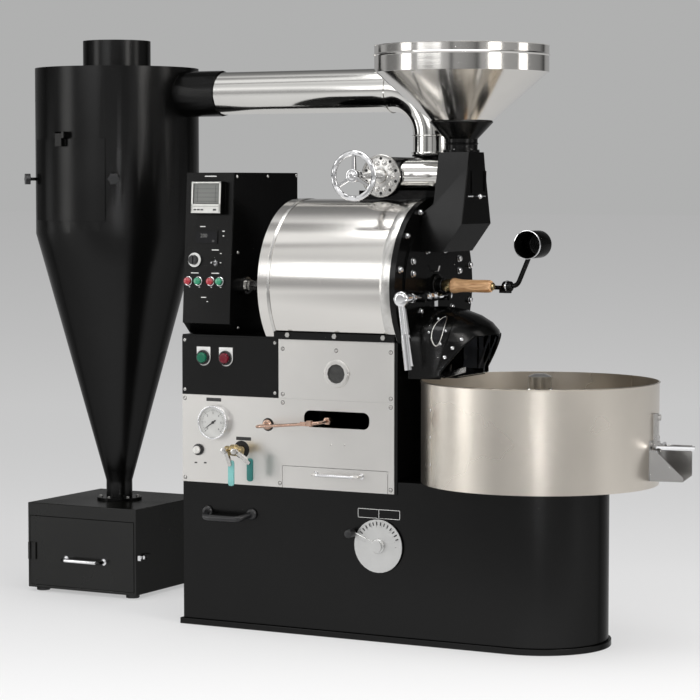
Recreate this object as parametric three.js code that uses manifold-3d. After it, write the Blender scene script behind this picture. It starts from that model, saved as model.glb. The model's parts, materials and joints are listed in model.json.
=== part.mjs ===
// Shop coffee roaster: a floor-standing drum roaster with a round cooling tray,
// a feed hopper, a cyclone and a chaff box.
// Millimetres, +Z up. The origin is on the floor under the axis of the cooling tray,
// +X points away from the drum through the tray, and the operator stands at -Y.
import * as THREE from 'three';
import { mergeVertices } from 'three/addons/utils/BufferGeometryUtils.js';
import Module from 'manifold-3d';

const wasm = await Module();
wasm.setup();

// Sizes shared by many pieces
const seat = 0.3;
const overrun = 6;
const weld = 0.001;
const count = { tray: 40, drum: 32, cyclone: 32, hopper: 32, pipe: 16, round: 12, small: 8, hex: 6 };

// Base: a long cabinet with a half-round end under the cooling tray
const base = {
  left: -1059, radius: 197, bottom: 18, top: 458, step: 422.7, wall: 3, endSides: 28,
  plinthOut: 8, portRadius: 52, fanHole: 150, openShare: 0.55,
};
const baseHandle = { x: -899, z: 339, span: 150, reach: 52, bar: 9, drop: 12, foot: 16, footDepth: 6 };
const airflow = {
  x: -406, z: 274, radius: 76, thick: 4, hub: 17, hubDepth: 14, lever: 88, leverWidth: 9, leverAngle: 158,
  knob: 11, knobDepth: 26, markShare: 0.72, marks: 10, windows: 3, standOff: 5, shaft: 7, rimLap: 6,
};

// Burner cabinet on the left part of the base
const cabinet = {
  right: -349, top: 857, rear: 200, front: -197.7, wall: 3, flange: 14, split: 681, post: -733,
};
const panel = { face: -200, thick: 2, right: -358.2, bottom: 423.3, lap: 5 };
const slot = { left: -649, right: -437, bottom: 602, top: 650, corner: 20 };
const porthole = { x: -542, z: 757.7, radius: 28, ring: 37, ringDepth: 5, bar: 3, bars: 4 };
const drawer = {
  left: -720, right: -379, top: 486, depth: 300, wall: 2, play: 1.2, boxTop: 478, handleX: -536,
  handleSpan: 148, handleReach: 26, handleBar: 4, handleZ: 468,
};
const gauge = { x: -947, z: 602, radius: 50, depth: 26, rim: 5, dish: 8, stem: 12 };
const gasKnob = {
  x: -1004, z: 519, radius: 17, depth: 22, grip: 12, gripWidth: 7, stem: 5, skirtShare: 0.85,
};
const valve = {
  x: -856, z: 528, body: 17, reach: 44, bodySpan: 56, stem: 6, stemRise: 14, nut: 12, elbow: 12,
};
const valveLever = { length: 92, width: 22, thick: 3, tilt: 12, spread: 34, hub: 9 };
const gasPipe = {
  inletX: -768, inletZ: 603, reach: 82, radius: 6, nut: 11, nutDepth: 14, fittingX: -676,
  fitting: 10, fittingSpan: 46, slotX: -560, bend: 22, fittingZ: 624, gasketR: 15,
};
const burnerBar = { z: 690, left: -720, right: -392, radius: 16, ports: 9, port: 4, stand: 14, y: 0 };
const pushButton = {
  greenX: -985, redX: -909, z: 791, radius: 16, collar: 21, collarDepth: 8, proud: 9, travel: 5, stem: 8,
  stemDepth: 30,
};

// Cooling tray, and the discharge hood whose mouth hangs just over its rim
const tray = {
  radius: 334.6, wall: 2, bottom: base.top + seat, rim: 746, floorZ: 500, floorThick: 3, ledge: 8, hem: 3,
  hemRise: 4, drain: 140, slotRings: 3, slotFirst: 96, slotStep: 78, slotLength: 46, slotWidth: 9,
  slotsInner: 7, gearBore: 40,
};
const hood = {
  halfWidth: 178, reach: 190, rise: 92, rimGap: 4, skirt: 106, wall: 2.5, rings: 6, arcs: 16,
  mouthTopX: -163, mouthTopRise: 14, mouthLowX: -236, mouthLowRise: 18, lip: 62, lipWidth: 96,
  notchWidth: 66, notchDepth: 46, sightX: 24, sightZ: 44, sightBar: 5, sightY: -116, sightRise: 28,
};
hood.low = tray.rim + hood.rimGap;
hood.middle = hood.low + hood.skirt;
hood.top = hood.middle + hood.rise;
hood.mouthTopZ = hood.middle + hood.mouthTopRise;
hood.mouthLowZ = hood.low + hood.mouthLowRise;

// Drum, its jacket and its front plate
const drum = {
  z: 1007, outer: 214, wall: 4, left: -742, right: -352, rearWall: 5, lip: 22, vanes: 4,
  vaneHeight: 46, vaneThick: 4, vaneTurn: 70, vaneSteps: 5, hub: 34, shaft: 16, shaftLeft: -1010,
  spokeHoles: 6, spokeHole: 34,
};
const jacket = {
  outer: 246, trimOuter: 248, inner: 242, left: -775, trimWidth: 30, right: -348.4, slotWidth: 220,
};
const rearPlate = { left: -771, thick: 6, boss: 44, bossEnd: 31, bossDepth: 30 };
const coupling = { y: -112, z: 1000, flat: 15, collar: 26, collarDepth: 12, nut: 19, nutDepth: 9 };
const rail = { left: -742, right: -352, out: -211, width: 20, height: 16 };
const face = {
  back: -348, front: -326, radius: 252, feedWidth: 120, feedBottom: 1122, feedTop: 1196,
  outletY: -14, outletRise: 14, outlet: 48, bolt: 8, boltDepth: 4, boltCircle: 232, bolts: 14,
  ringIn: 196, ringDepth: 5, trierHole: 14,
};
face.outletZ = hood.middle + face.outletRise;
const trierSeat = { radius: 20, depth: 18, collar: 17, collarDepth: 24 };
const trier = {
  tube: 12, reach: 150, handleRadius: 17, handleLength: 132, waist: 12, ferrule: 15, ferruleLength: 12,
  scoopLength: 96,
};

// Discharge door behind the hood, and the inspection lamp
const door = {
  shaftX: -306, shaftRise: 30, shaft: 8, hubY: -250, shaftEnd: 40, radius: 58, thick: 6, arm: 22,
  armThick: 7, leverDrop: 188, leverTop: 17, leverWidth: 9, hub: 21, hubDepth: 30, lean: 7, earY: -92,
  ear: 12, earDepth: 16,
};
door.shaftZ = hood.top + door.shaftRise;
const lamp = {
  y: 46, z: 1002, rod: 6, knuckleX: -122, knuckle: 12, knuckleSpan: 30, elbowX: -92, topX: -58,
  topZ: 1086, cupX: -44, cupZ: 1126, cup: 39, cupWall: 2, cupDepth: 74, mouthY: 4, flange: 15,
  flangeDepth: 5,
};

// Feed: hopper, cone and chute over the front plate
const chute = {
  back: -294, front: -200, bottom: 1105, waistRise: 79, joinRise: 32, plateRise: 56, gateRise: 78,
  shoulderRise: 162, topRise: 41, shoulderHalf: 58, topHalf: 50, waistHalf: 97, noseX: -258, wall: 3,
};
chute.waist = chute.bottom + chute.waistRise;
chute.plateJoin = chute.waist + chute.joinRise;
chute.plateTop = chute.waist + chute.plateRise;
chute.shoulder = chute.waist + chute.shoulderRise;
chute.top = chute.shoulder + chute.topRise;
const gate = {
  z: chute.waist + chute.gateRise, thick: 3, rod: 4, knob: 8, y: -28, slack: 1.2, rodOut: 16, slotY: 56,
  guide: 10, guideThick: 3, guideDrop: 12, guideRise: 58,
};
const cone = {
  bottom: chute.top + seat, rise: 86.4, mouth: 90, neck: 46, neckRise: 36.7, ringDrop: 13, ringOut: 3,
  ringRise: 3, flange: 52, flangeRise: 6, wall: 3,
};
cone.top = cone.bottom + cone.rise;
cone.neckTop = cone.bottom + cone.neckRise;
cone.ring = cone.neckTop - cone.ringDrop;
const hopper = {
  x: -247, rim: 248, bottom: cone.top + seat, bowlRise: 138, bandRise: 76, beadDrop: 31, beadOut: 3,
  beadRise: 4, ledge: 243, neck: 87, wall: 1.6,
};
hopper.bandBottom = hopper.bottom + hopper.bowlRise;
hopper.rimTop = hopper.bandBottom + hopper.bandRise;
hopper.bead = hopper.rimTop - hopper.beadDrop;

// Exhaust: damper over the drum, polished pipes, cyclone and chaff box
const damper = {
  x: -486, z: 1320, radius: 54, wall: 4, frontY: -22, riserX: -479, riserY: 300, riser: 62,
  riserTop: 1384, riserFlange: 6, flangeRise: 6, tubeY: 20, tube: 44, tubeBoss: 49, tubeLeft: -434,
  tubeRight: -294.4, web: 4, webY: 74, shutter: 45, windows: 3, saddleLeft: -566, saddleRight: -350,
  saddleFront: -20, saddleRear: 104, saddleTop: 1278, saddleArch: 242,
};
const indexPlate = { radius: 61, y: -34, thick: 4, slots: 10, slot: 5, slotCircle: 46, boss: 20 };
const handwheel = {
  y: -203, radius: 64, rim: 7, hub: 17, hubDepth: 22, spokes: 3, spoke: 5, dish: 12, shaft: 8,
};
const pipe = {
  radius: 66, wall: 2, bend: 135, seamZ: 1443, bead: 3, beadWidth: 6, steps: 7, left: -1215,
};
const cyclone = {
  x: -1611.5, y: 299.2, radius: 261.4, top: 1662.5, bodyBottom: 1139, neck: 42, coneBottom: 345,
  bottom: 283.3, wall: 3, stub: 108, stubTop: 1750, flange: 72, flangeRise: 8, collar: 71,
  collarWall: 6.9, deepest: 44,
};
const hatch = {
  bearing: -97, halfSpan: 32, bottom: 1181, top: 1437, thick: 4, doorSides: 14, lugWidth: 26, pin: 5,
  pinOut: 12, pinSpan: 44, knobZ: 1312, star: 20, starInner: 14.5, starDepth: 16, points: 6, stud: 5,
  holeInset: 22, tab: 24, tabOut: 20,
};
const chaff = {
  left: -1820.6, right: -1412.7, front: 88.2, rear: 503.5, bottom: 12, top: 283, wall: 2.5, doorTop: 242,
  doorBottom: 20, doorThick: 3, doorInset: 7, play: 1.5, foot: 22, footInset: 34, handleX: -1603,
  handleSpan: 142, handleReach: 30, handleBar: 5, handleZ: 110, hole: 46, hinge: 5, hingeZ: 102,
  hingeSpan: 54, hingeReach: 22, frame: 16,
};
const latch = { z: 130, y: 116, width: 16, length: 44, thick: 4, pivot: 6, proud: 12 };

// Stirrer, outlet, gate and motor of the tray
const outlet = {
  bearing: 12, width: 166, reach: 84, bottom: 480, top: 566, wall: 2, windowHalf: 62, sill: 506,
  doorRise: 54,
};
const trayGate = {
  y: -40, hinge: 5, strap: 22, strapTop: 664, thick: 5, lever: 104, leverRadius: 7, boss: 11,
  flapInset: 3, bolt: 8,
};
const stirrer = {
  shaft: 15, capRadius: 34, capTop: 764, capBottom: 724, arms: 4, arm: 7, armReach: 300,
  paddleHeight: 46, paddleThick: 4, paddleLength: 150, clear: 6, armZ: 738, rake: 28,
};
const trayMotor = {
  gearbox: 62, gearboxTop: 496, gearboxBottom: 430, motor: 52, motorBottom: 310, arm: 12, armRise: 14,
};
const fan = { radius: 142, blades: 9, bladeThick: 3, height: 84, top: 296, hub: 26, disc: 4, eye: 74 };

// Drive housing and its control face
const housing = {
  left: -1059, right: -899, bottom: 857.6, faceBottom: 890, top: 1330, rear: 208, frontLow: -197,
  frontHigh: -169, tuck: -157, wall: 3, ventSlots: 7, vent: 6, ventSpan: 96, ventPitch: 16,
};
const control = {
  thick: 4, recorder: [30, 134, 319, 414], recorderDepth: 24, recorderRim: 7, recorderDish: 4,
  screenLow: 30, display: [35, 112, 233, 271], displayDepth: 3, knobX: 37, knobY: 185, knobRing: 21,
  knob: 13, knobDepth: 16, ringDepth: 3, toggleX: 107, toggleY: 177, toggle: 9, toggleDepth: 5, bat: 3,
  batLength: 20, buttonY: 123, button: 10.5, buttonRim: 13, buttonDepth: 8, travel: 4, rimDepth: 3,
  pin: 5, pinBack: 12,
};
const buttonXs = [16, 50, 92, 123];
const driveMotor = { gearbox: 64, left: -1052, right: -926, motor: 52, motorTop: 1262 };

// Materials
const finish = (color, roughness, metalness) =>
  new THREE.MeshStandardMaterial({ color, roughness, metalness });
const satinBlack = finish(0x1b1b1d, 0.5, 0.2);
const blackPlastic = finish(0x121214, 0.4, 0);
const brushed = finish(0xc9c5bf, 0.32, 1);
const polished = finish(0xe2e2e0, 0.08, 1);
const chromed = finish(0xe8e8ea, 0.05, 1);
const copper = finish(0xb87348, 0.25, 1);
const brass = finish(0xc3a05a, 0.3, 1);
const castIron = finish(0x45464a, 0.6, 0.6);
const timber = finish(0xc9975f, 0.55, 0);
const white = finish(0xf0efe9, 0.4, 0);
const greenPlastic = finish(0x159a5c, 0.3, 0);
const redPlastic = finish(0xb51f26, 0.3, 0);
const teal = finish(0x6cc0bd, 0.4, 0);
const darkTeal = finish(0x23696b, 0.4, 0);

const roaster = new THREE.Group();

function place(name, geometry, material) {
  const mesh = new THREE.Mesh(geometry, material);
  mesh.name = name;
  roaster.add(mesh);
}

const degrees = (angle) => THREE.MathUtils.degToRad(angle);

// Closed meshes: only positions, with shared corners welded and the faces pointing out
function volumeOf(geometry) {
  const { array } = geometry.getAttribute('position');
  const order = geometry.getIndex().array;
  const corner = (k) => new THREE.Vector3().fromArray(array, 3 * order[k]);
  let sum = 0;
  for (let k = 0; k < order.length; k += 3) {
    sum += corner(k).dot(corner(k + 1).cross(corner(k + 2)));
  }
  return sum;
}

function tidy(geometry) {
  const bare = new THREE.BufferGeometry();
  bare.setAttribute('position', geometry.getAttribute('position'));
  bare.setIndex(geometry.getIndex());
  const welded = mergeVertices(bare, weld);
  const kept = [];
  const order = welded.getIndex().array;
  for (let k = 0; k < order.length; k += 3) {
    const [a, b, c] = order.slice(k, k + 3);
    if (a !== b && b !== c && c !== a) kept.push(a, b, c);
  }
  welded.setIndex(kept);
  if (volumeOf(welded) < 0) {
    for (let k = 0; k < kept.length; k += 3) kept.splice(k, 3, kept[k], kept[k + 2], kept[k + 1]);
    welded.setIndex(kept);
  }
  return welded;
}

// Joining and cutting
function solidOf(geometry) {
  return new wasm.Manifold(new wasm.Mesh({
    numProp: 3,
    vertProperties: new Float32Array(geometry.getAttribute('position').array),
    triVerts: new Uint32Array(geometry.getIndex().array),
  }));
}

function geometryOf(solid) {
  const mesh = solid.getMesh();
  const geometry = new THREE.BufferGeometry();
  geometry.setAttribute('position', new THREE.BufferAttribute(mesh.vertProperties, 3));
  geometry.setIndex(new THREE.BufferAttribute(mesh.triVerts, 1));
  return geometry;
}

const join = (first, ...others) =>
  geometryOf(others.reduce((sum, other) => sum.add(solidOf(other)), solidOf(first)));
const cut = (first, ...others) =>
  geometryOf(others.reduce((rest, other) => rest.subtract(solidOf(other)), solidOf(first)));
const common = (first, second) => geometryOf(solidOf(first).intersect(solidOf(second)));

// Basic forms
function block([x0, x1], [y0, y1], [z0, z1]) {
  const box = new THREE.BoxGeometry(x1 - x0, y1 - y0, z1 - z0);
  return tidy(box.translate((x0 + x1) / 2, (y0 + y1) / 2, (z0 + z1) / 2));
}

// An outline drawn in the plane square to the axis: x takes (y, z), y takes (x, z), z takes (x, y)
function prism(axis, shape, from, to) {
  const form = new THREE.ExtrudeGeometry(shape, {
    depth: to - from, bevelEnabled: false, curveSegments: count.small / 2,
  });
  form.translate(0, 0, from);
  const turn = new THREE.Matrix4();
  if (axis === 'x') turn.set(0, 0, 1, 0, 1, 0, 0, 0, 0, 1, 0, 0, 0, 0, 0, 1);
  if (axis === 'y') turn.set(1, 0, 0, 0, 0, 0, 1, 0, 0, 1, 0, 0, 0, 0, 0, 1);
  return tidy(form.applyMatrix4(turn));
}

// The radius of a faceted hole that clears a round rod
const around = (radius, sides) => (radius + seat) / Math.cos(Math.PI / sides);

const outline = (points) => new THREE.Shape(points.map(([a, b]) => new THREE.Vector2(a, b)));

const ringPoints = (radius, sides, [a, b] = [0, 0], start = 0) =>
  Array.from({ length: sides }, (_, k) => {
    const angle = start + (2 * Math.PI * k) / sides;
    return [a + radius * Math.cos(angle), b + radius * Math.sin(angle)];
  });

const rod = (axis, radius, from, to, centre, sides = count.small) =>
  prism(axis, outline(ringPoints(radius, sides, centre)), from, to);

// A profile of [radius, height] turned about the line through the centre
function turned(axis, profile, [a, b], sides) {
  const form = new THREE.LatheGeometry(profile.map(([r, h]) => new THREE.Vector2(r, h)), sides);
  form.rotateX(Math.PI / 2);
  if (axis === 'x') form.rotateY(Math.PI / 2).translate(0, a, b);
  if (axis === 'y') form.rotateX(-Math.PI / 2).translate(a, 0, b);
  if (axis === 'z') form.translate(a, b, 0);
  return tidy(form);
}

const closed = (profile) => [...profile, profile[0]];

class Route extends THREE.CurvePath {}

// A bar of round section along straight runs whose corners are rounded
function bentBar(points, radius, bend, sides = count.small, steps = 3) {
  const corners = points.map(([x, y, z]) => new THREE.Vector3(x, y, z));
  const route = new Route();
  let from = corners[0];
  for (let k = 1; k < corners.length - 1; k += 1) {
    const back = corners[k - 1].clone().sub(corners[k]).setLength(bend).add(corners[k]);
    const on = corners[k + 1].clone().sub(corners[k]).setLength(bend).add(corners[k]);
    route.add(new THREE.LineCurve3(from, back));
    route.add(new THREE.QuadraticBezierCurve3(back, corners[k], on));
    from = on;
  }
  route.add(new THREE.LineCurve3(from, corners[corners.length - 1]));
  const stops = [];
  route.curves.forEach((curve) => {
    const parts = curve.isLineCurve3 ? 1 : steps;
    for (let k = 0; k < parts; k += 1) stops.push(curve.getPoint(k / parts));
  });
  stops.push(corners[corners.length - 1]);
  return sweep(stops, radius, sides);
}

// Rings of points joined into a closed skin
function loft(rings) {
  const width = rings[0].length;
  const corners = rings.flat(2);
  const order = [];
  for (let row = 0; row + 1 < rings.length; row += 1) {
    for (let k = 0; k < width; k += 1) {
      const next = (k + 1) % width;
      const [a, b] = [row * width + k, row * width + next];
      order.push(a, b, b + width, a, b + width, a + width);
    }
  }
  const last = (rings.length - 1) * width;
  for (let k = 1; k + 1 < width; k += 1) {
    order.push(0, k + 1, k, last, last + k, last + k + 1);
  }
  const form = new THREE.BufferGeometry();
  form.setAttribute('position', new THREE.Float32BufferAttribute(corners, 3));
  form.setIndex(order);
  return tidy(form);
}

// A round section carried along points, square to the way at each one
function sweep(stops, radius, sides) {
  let side = null;
  const rings = stops.map((point, k) => {
    const before = stops[Math.max(k - 1, 0)];
    const after = stops[Math.min(k + 1, stops.length - 1)];
    const way = after.clone().sub(before).normalize();
    if (!side) {
      side = new THREE.Vector3(0, 0, 1);
      if (Math.abs(way.z) > Math.SQRT1_2) side = new THREE.Vector3(1, 0, 0);
    }
    side = side.sub(way.clone().multiplyScalar(side.dot(way))).normalize();
    const up = way.clone().cross(side);
    return ringPoints(radius, sides).map(([a, b]) =>
      point.clone().addScaledVector(side, a).addScaledVector(up, b).toArray());
  });
  return loft(rings);
}

const spun = (geometry, axis, angle, [x, y, z]) => {
  const turn = new THREE.Matrix4().makeTranslation(x, y, z);
  turn.multiply(new THREE.Matrix4().makeRotationAxis(new THREE.Vector3(...axis), angle));
  turn.multiply(new THREE.Matrix4().makeTranslation(-x, -y, -z));
  return tidy(geometry.clone().applyMatrix4(turn));
};

// Base
function stadium(radius, left) {
  const shape = new THREE.Shape();
  shape.moveTo(left, -radius);
  shape.lineTo(0, -radius);
  for (let k = 1; k <= base.endSides; k += 1) {
    const angle = Math.PI * (k / base.endSides) - Math.PI / 2;
    shape.lineTo(radius * Math.cos(angle), radius * Math.sin(angle));
  }
  shape.lineTo(left, radius);
  return shape;
}

function makeBase() {
  const out = base.plinthOut;
  place('base_plinth', prism('z', stadium(base.radius + out, base.left - out), 0, base.bottom - seat),
    satinBlack);

  const inner = base.radius - base.wall;
  const shell = prism('z', stadium(base.radius, base.left), base.bottom, base.top);
  const hollow = prism('z', stadium(inner, base.left + base.wall), base.bottom + base.wall,
    base.step - base.wall);
  const step = block([base.left - overrun, face.back], [-base.radius - overrun, base.radius + overrun],
    [base.step, base.top + overrun]);
  const rightHollow = common(
    prism('z', stadium(inner, base.left), base.bottom + base.wall, base.top - base.wall),
    block([face.back + base.wall, base.radius], [-base.radius, base.radius], [base.bottom, base.top]),
  );
  const fanHole = rod('z', base.fanHole, base.step - overrun, base.top + overrun, [0, 0], count.drum);
  place('base_cabinet', cut(shell, step, hollow, rightHollow, fanHole, ...airPorts()), satinBlack);

  const { x, z, span, reach, bar, drop, foot, footDepth } = baseHandle;
  const yFoot = -base.radius - seat;
  const ends = [x - span / 2, x + span / 2];
  const feet = ends.map((end) => rod('y', foot, yFoot - footDepth, yFoot, [end, z], count.round));
  const grip = bentBar([
    [ends[0], yFoot - footDepth, z], [ends[0] + foot, -base.radius - reach, z - drop],
    [ends[1] - foot, -base.radius - reach, z - drop], [ends[1], yFoot - footDepth, z],
  ], bar, foot);
  place('base_handle', join(grip, ...feet), blackPlastic);
}

// Windows spread evenly round an axis, each taking its share of the turn
function windows(axis, [a, b], inner, outer, number, openShare, from, to, start = 0) {
  return Array.from({ length: number }, (_, k) => {
    const half = (Math.PI / number) * openShare;
    const middle = start + (2 * Math.PI * k) / number;
    const arc = [-1, -1 / 2, 0, 1 / 2, 1].map((share) => middle + half * share);
    const at = (radius) => (angle) => [a + radius * Math.cos(angle), b + radius * Math.sin(angle)];
    return prism(axis, outline([...arc.map(at(outer)), ...arc.reverse().map(at(inner))]), from, to);
  });
}

function airPorts() {
  const { x, z, hub, windows: gaps, shaft } = airflow;
  const [from, to] = [-base.radius - overrun, -base.radius + base.wall + overrun];
  return [...windows('y', [x, z], hub, base.portRadius, gaps, base.openShare, from, to),
    rod('y', around(shaft, count.small), from, to, [x, z], count.small)];
}

// The air dial stands off the base front, and the shutter on its shaft covers the ports from inside
function makeAirflow() {
  const { x, z, radius, thick, hub, hubDepth, lever, leverWidth, leverAngle, knob, knobDepth } = airflow;
  const { windows: gaps, standOff, shaft, rimLap } = airflow;
  const back = -base.radius - standOff;
  const front = back - thick;
  const inside = -base.radius + base.wall + seat;
  const dial = rod('y', radius, front, back, [x, z], count.drum);
  const openings = windows('y', [x, z], hub, base.portRadius, gaps, base.openShare,
    inside - overrun, inside + thick + overrun, Math.PI / gaps);
  const shutter = cut(rod('y', base.portRadius + rimLap, inside, inside + thick, [x, z], count.drum),
    ...openings);
  const axle = rod('y', shaft, back - thick / 2, inside + thick / 2, [x, z], count.small);
  const grooves = Array.from({ length: airflow.marks }, (_, k) => {
    const mark = block([x + radius * airflow.markShare, x + radius - thick],
      [front - overrun, front + thick / 2], [z - thick / 4, z + thick / 4]);
    return spun(mark, [0, 1, 0], -degrees(leverAngle / airflow.marks) * k, [x, 0, z]);
  });
  const middle = rod('y', hub, front - hubDepth, back, [x, z], count.round);
  const arm = spun(block([x, x + lever], [front - thick, front + thick / 4],
    [z - leverWidth / 2, z + leverWidth / 2]), [0, 1, 0], -degrees(leverAngle), [x, 0, z]);
  const grip = spun(rod('y', knob, front - thick - knobDepth, front, [x + lever, z], count.small),
    [0, 1, 0], -degrees(leverAngle), [x, 0, z]);
  const disc = cut(join(dial, middle), ...grooves);
  place('airflow_disc', join(disc, arm, grip, axle, shutter), brushed);
}

// Burner cabinet and its panels
function drumBed(radius) {
  return rod('x', radius, jacket.left - seat, cabinet.right + overrun, [0, drum.z], count.drum);
}

function makeCabinet() {
  const { right, top, rear, front, wall, flange, split, post } = cabinet;
  const low = base.step + seat;
  const body = block([base.left, right], [front, rear], [low, top]);
  const hollow = block([base.left + wall, right - wall], [front + flange / 2, rear - wall],
    [low + wall, top - wall]);
  const mouths = [
    [[base.left + flange, right - flange], [low + flange, split - flange / 2]],
    [[base.left + flange, post - flange / 2], [split + flange / 2, top - flange]],
    [[post + flange / 2, right - flange], [split + flange / 2, top - flange]],
  ].map(([xs, zs]) => block(xs, [front - overrun, front + flange], zs));
  const mouth = block([drawer.left - drawer.play, drawer.right + drawer.play],
    [front - overrun, front + flange], [low - overrun, drawer.top + drawer.play]);
  const bars = [rail.out, -rail.out - rail.width].map((y) => block([rail.left, rail.right],
    [y, y + rail.width], [top - panel.lap + seat, top + rail.height]));
  place('burner_cabinet', cut(join(cut(body, hollow), ...bars), ...mouths, mouth,
    drumBed(jacket.trimOuter + seat * 2)), satinBlack);
}

function panelPlate(x0, x1, z0, z1) {
  return block([x0, x1], [panel.face, panel.face + panel.thick], [z0, z1]);
}

const through = [panel.face - overrun, panel.face + panel.thick + overrun];

function makePanels() {
  const edge = seat / 2;
  const [low, split, post] = [panel.bottom, cabinet.split, cabinet.post];
  const top = cabinet.top - panel.lap;

  const gasHoles = [[gauge, gauge.stem], [gasKnob, gasKnob.stem], [valve, valve.nut]].map(
    ([item, radius]) => rod('y', around(radius, count.small), ...through, [item.x, item.z]));
  const inletHole = rod('y', around(gasPipe.radius, count.small), ...through,
    [gasPipe.inletX, gasPipe.inletZ]);
  const corner = slot.corner;
  const windowShape = roundedBox(slot.left, slot.right, slot.bottom, slot.top, corner);
  const drawerMouth = block([drawer.left - drawer.play, drawer.right + drawer.play], through,
    [low - overrun, drawer.top + drawer.play]);
  place('gas_panel', cut(panelPlate(base.left, panel.right, low, split - edge), ...gasHoles, inletHole,
    prism('y', windowShape, ...through), drawerMouth), brushed);

  const ringFace = panel.face - porthole.ringDepth;
  const centre = [porthole.x, porthole.z];
  const sight = rod('y', porthole.radius, ringFace - overrun, through[1], centre, count.round);
  const collar = rod('y', porthole.ring, ringFace, panel.face + panel.thick, centre, count.round);
  const pitch = (2 * porthole.radius) / (porthole.bars + 1);
  const bars = Array.from({ length: porthole.bars }, (_, k) => {
    const z = porthole.z - porthole.radius + pitch * (k + 1);
    return block([porthole.x - porthole.ring + porthole.bar, porthole.x + porthole.ring - porthole.bar],
      [panel.face, panel.face + panel.thick], [z - porthole.bar / 2, z + porthole.bar / 2]);
  });
  const upper = cut(join(panelPlate(post + edge, panel.right, split + edge, top), collar), sight);
  place('burner_panel', join(upper, ...bars), brushed);

  const buttonHoles = [pushButton.greenX, pushButton.redX].map((x) =>
    rod('y', pushButton.stem + seat, ...through, [x, pushButton.z], count.small));
  const collars = [pushButton.greenX, pushButton.redX].map(buttonCollar);
  const blackPlate = panelPlate(base.left, post - edge, split + edge, top);
  place('button_panel', cut(join(blackPlate, ...collars), ...buttonHoles), satinBlack);
}

function roundedBox(x0, x1, z0, z1, corner) {
  const shape = new THREE.Shape();
  shape.moveTo(x0 + corner, z0);
  shape.lineTo(x1 - corner, z0);
  shape.absarc(x1 - corner, z0 + corner, corner, -Math.PI / 2, 0, false);
  shape.absarc(x1 - corner, z1 - corner, corner, 0, Math.PI / 2, false);
  shape.absarc(x0 + corner, z1 - corner, corner, Math.PI / 2, Math.PI, false);
  shape.absarc(x0 + corner, z0 + corner, corner, Math.PI, 1.5 * Math.PI, false);
  return shape;
}

// Start and stop buttons: a guard ring on the panel, and a mushroom cap that travels in it
function buttonCollar(x) {
  const { z, collar, collarDepth, radius } = pushButton;
  const ring = rod('y', collar, panel.face - collarDepth, panel.face + panel.thick / 2, [x, z],
    count.round);
  return cut(ring, rod('y', radius + seat, panel.face - collarDepth - overrun, panel.face, [x, z],
    count.round));
}

function makePushButtons() {
  const { z, radius, proud, travel, stem, stemDepth, collarDepth } = pushButton;
  [['start_button', pushButton.greenX, greenPlastic], ['stop_button', pushButton.redX, redPlastic]]
    .forEach(([name, x, material]) => {
      const back = panel.face - travel - seat;
      const crown = panel.face - collarDepth - proud;
      const cap = turned('y', [[0, back], [radius, back], [radius, crown + proud / 2],
        [radius - proud / 4, crown + proud / 8], [0, crown]], [x, z], count.round);
      place(name, join(cap, rod('y', stem, back - seat, panel.face + stemDepth, [x, z])), material);
    });
}

function makeDrawer() {
  const { left, right, top, depth, wall, handleX, handleSpan, handleReach, handleBar } = drawer;
  const low = panel.bottom;
  const inset = cabinet.flange;
  const front = block([left, right], [panel.face, panel.face + panel.thick], [low, top]);
  const boxFront = panel.face + panel.thick;
  const floor = base.step + seat + cabinet.wall + seat;
  const body = block([left + inset, right - inset], [boxFront - seat, boxFront + depth],
    [floor, drawer.boxTop]);
  const hollow = block([left + inset + wall, right - inset - wall],
    [boxFront + wall, boxFront + depth - wall], [floor + wall, drawer.boxTop + overrun]);
  const ends = [handleX - handleSpan / 2, handleX + handleSpan / 2];
  const handle = bentBar([
    [ends[0], panel.face + seat, drawer.handleZ], [ends[0], panel.face - handleReach, drawer.handleZ],
    [ends[1], panel.face - handleReach, drawer.handleZ], [ends[1], panel.face + seat, drawer.handleZ],
  ], handleBar, handleBar * 2);
  place('ash_drawer', join(cut(join(front, body), hollow), handle), brushed);
}

// Gas controls on the lower panel
function makeGauge() {
  const { x, z, radius, depth, rim, dish, stem } = gauge;
  const back = panel.face - seat;
  const front = back - depth;
  place('pressure_gauge', turned('y', [
    [0, back + panel.thick * 2 + stem], [stem, back + panel.thick * 2 + stem], [stem, back],
    [radius - rim / 2, back], [radius, front + rim], [radius - rim / 2, front], [radius - rim, front],
    [radius - rim, front + dish], [0, front + dish]], [x, z], count.pipe), chromed);
}

function makeGasKnob() {
  const { x, z, radius, depth, grip, gripWidth, stem } = gasKnob;
  const back = panel.face - seat;
  const skirt = turned('y', [[0, back], [radius, back], [radius, back - depth / 3],
    [radius * gasKnob.skirtShare, back - depth / 2], [0, back - depth / 2]], [x, z], count.round);
  const bar = block([x - gripWidth / 2, x + gripWidth / 2], [back - depth, back - depth / 3],
    [z - grip, z + grip]);
  const pin = rod('y', stem, back - seat, panel.face + panel.thick + stem * 2, [x, z]);
  place('gas_knob', join(skirt, bar, pin), white);
}

function makeValve() {
  const { x, z, body, reach, bodySpan, stem, stemRise, nut, elbow } = valve;
  const y = panel.face - reach;
  const tail = rod('y', nut, y, panel.face + panel.thick + nut, [x, z], count.hex);
  const ball = turned('x', [[0, x - bodySpan / 2], [elbow, x - bodySpan / 2], [elbow, x - bodySpan / 4],
    [body, x - body / 2], [body, x + body / 2], [elbow, x + bodySpan / 4], [elbow, x + bodySpan / 2],
    [0, x + bodySpan / 2]], [y, z], count.hex * 2);
  const stems = [-1, 1].map((side) => rod('y', stem, y - body - stemRise, y,
    [x + (side * valveLever.spread) / 2, z], count.small));
  place('gas_valve', join(tail, ball, ...stems), brass);
}

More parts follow.
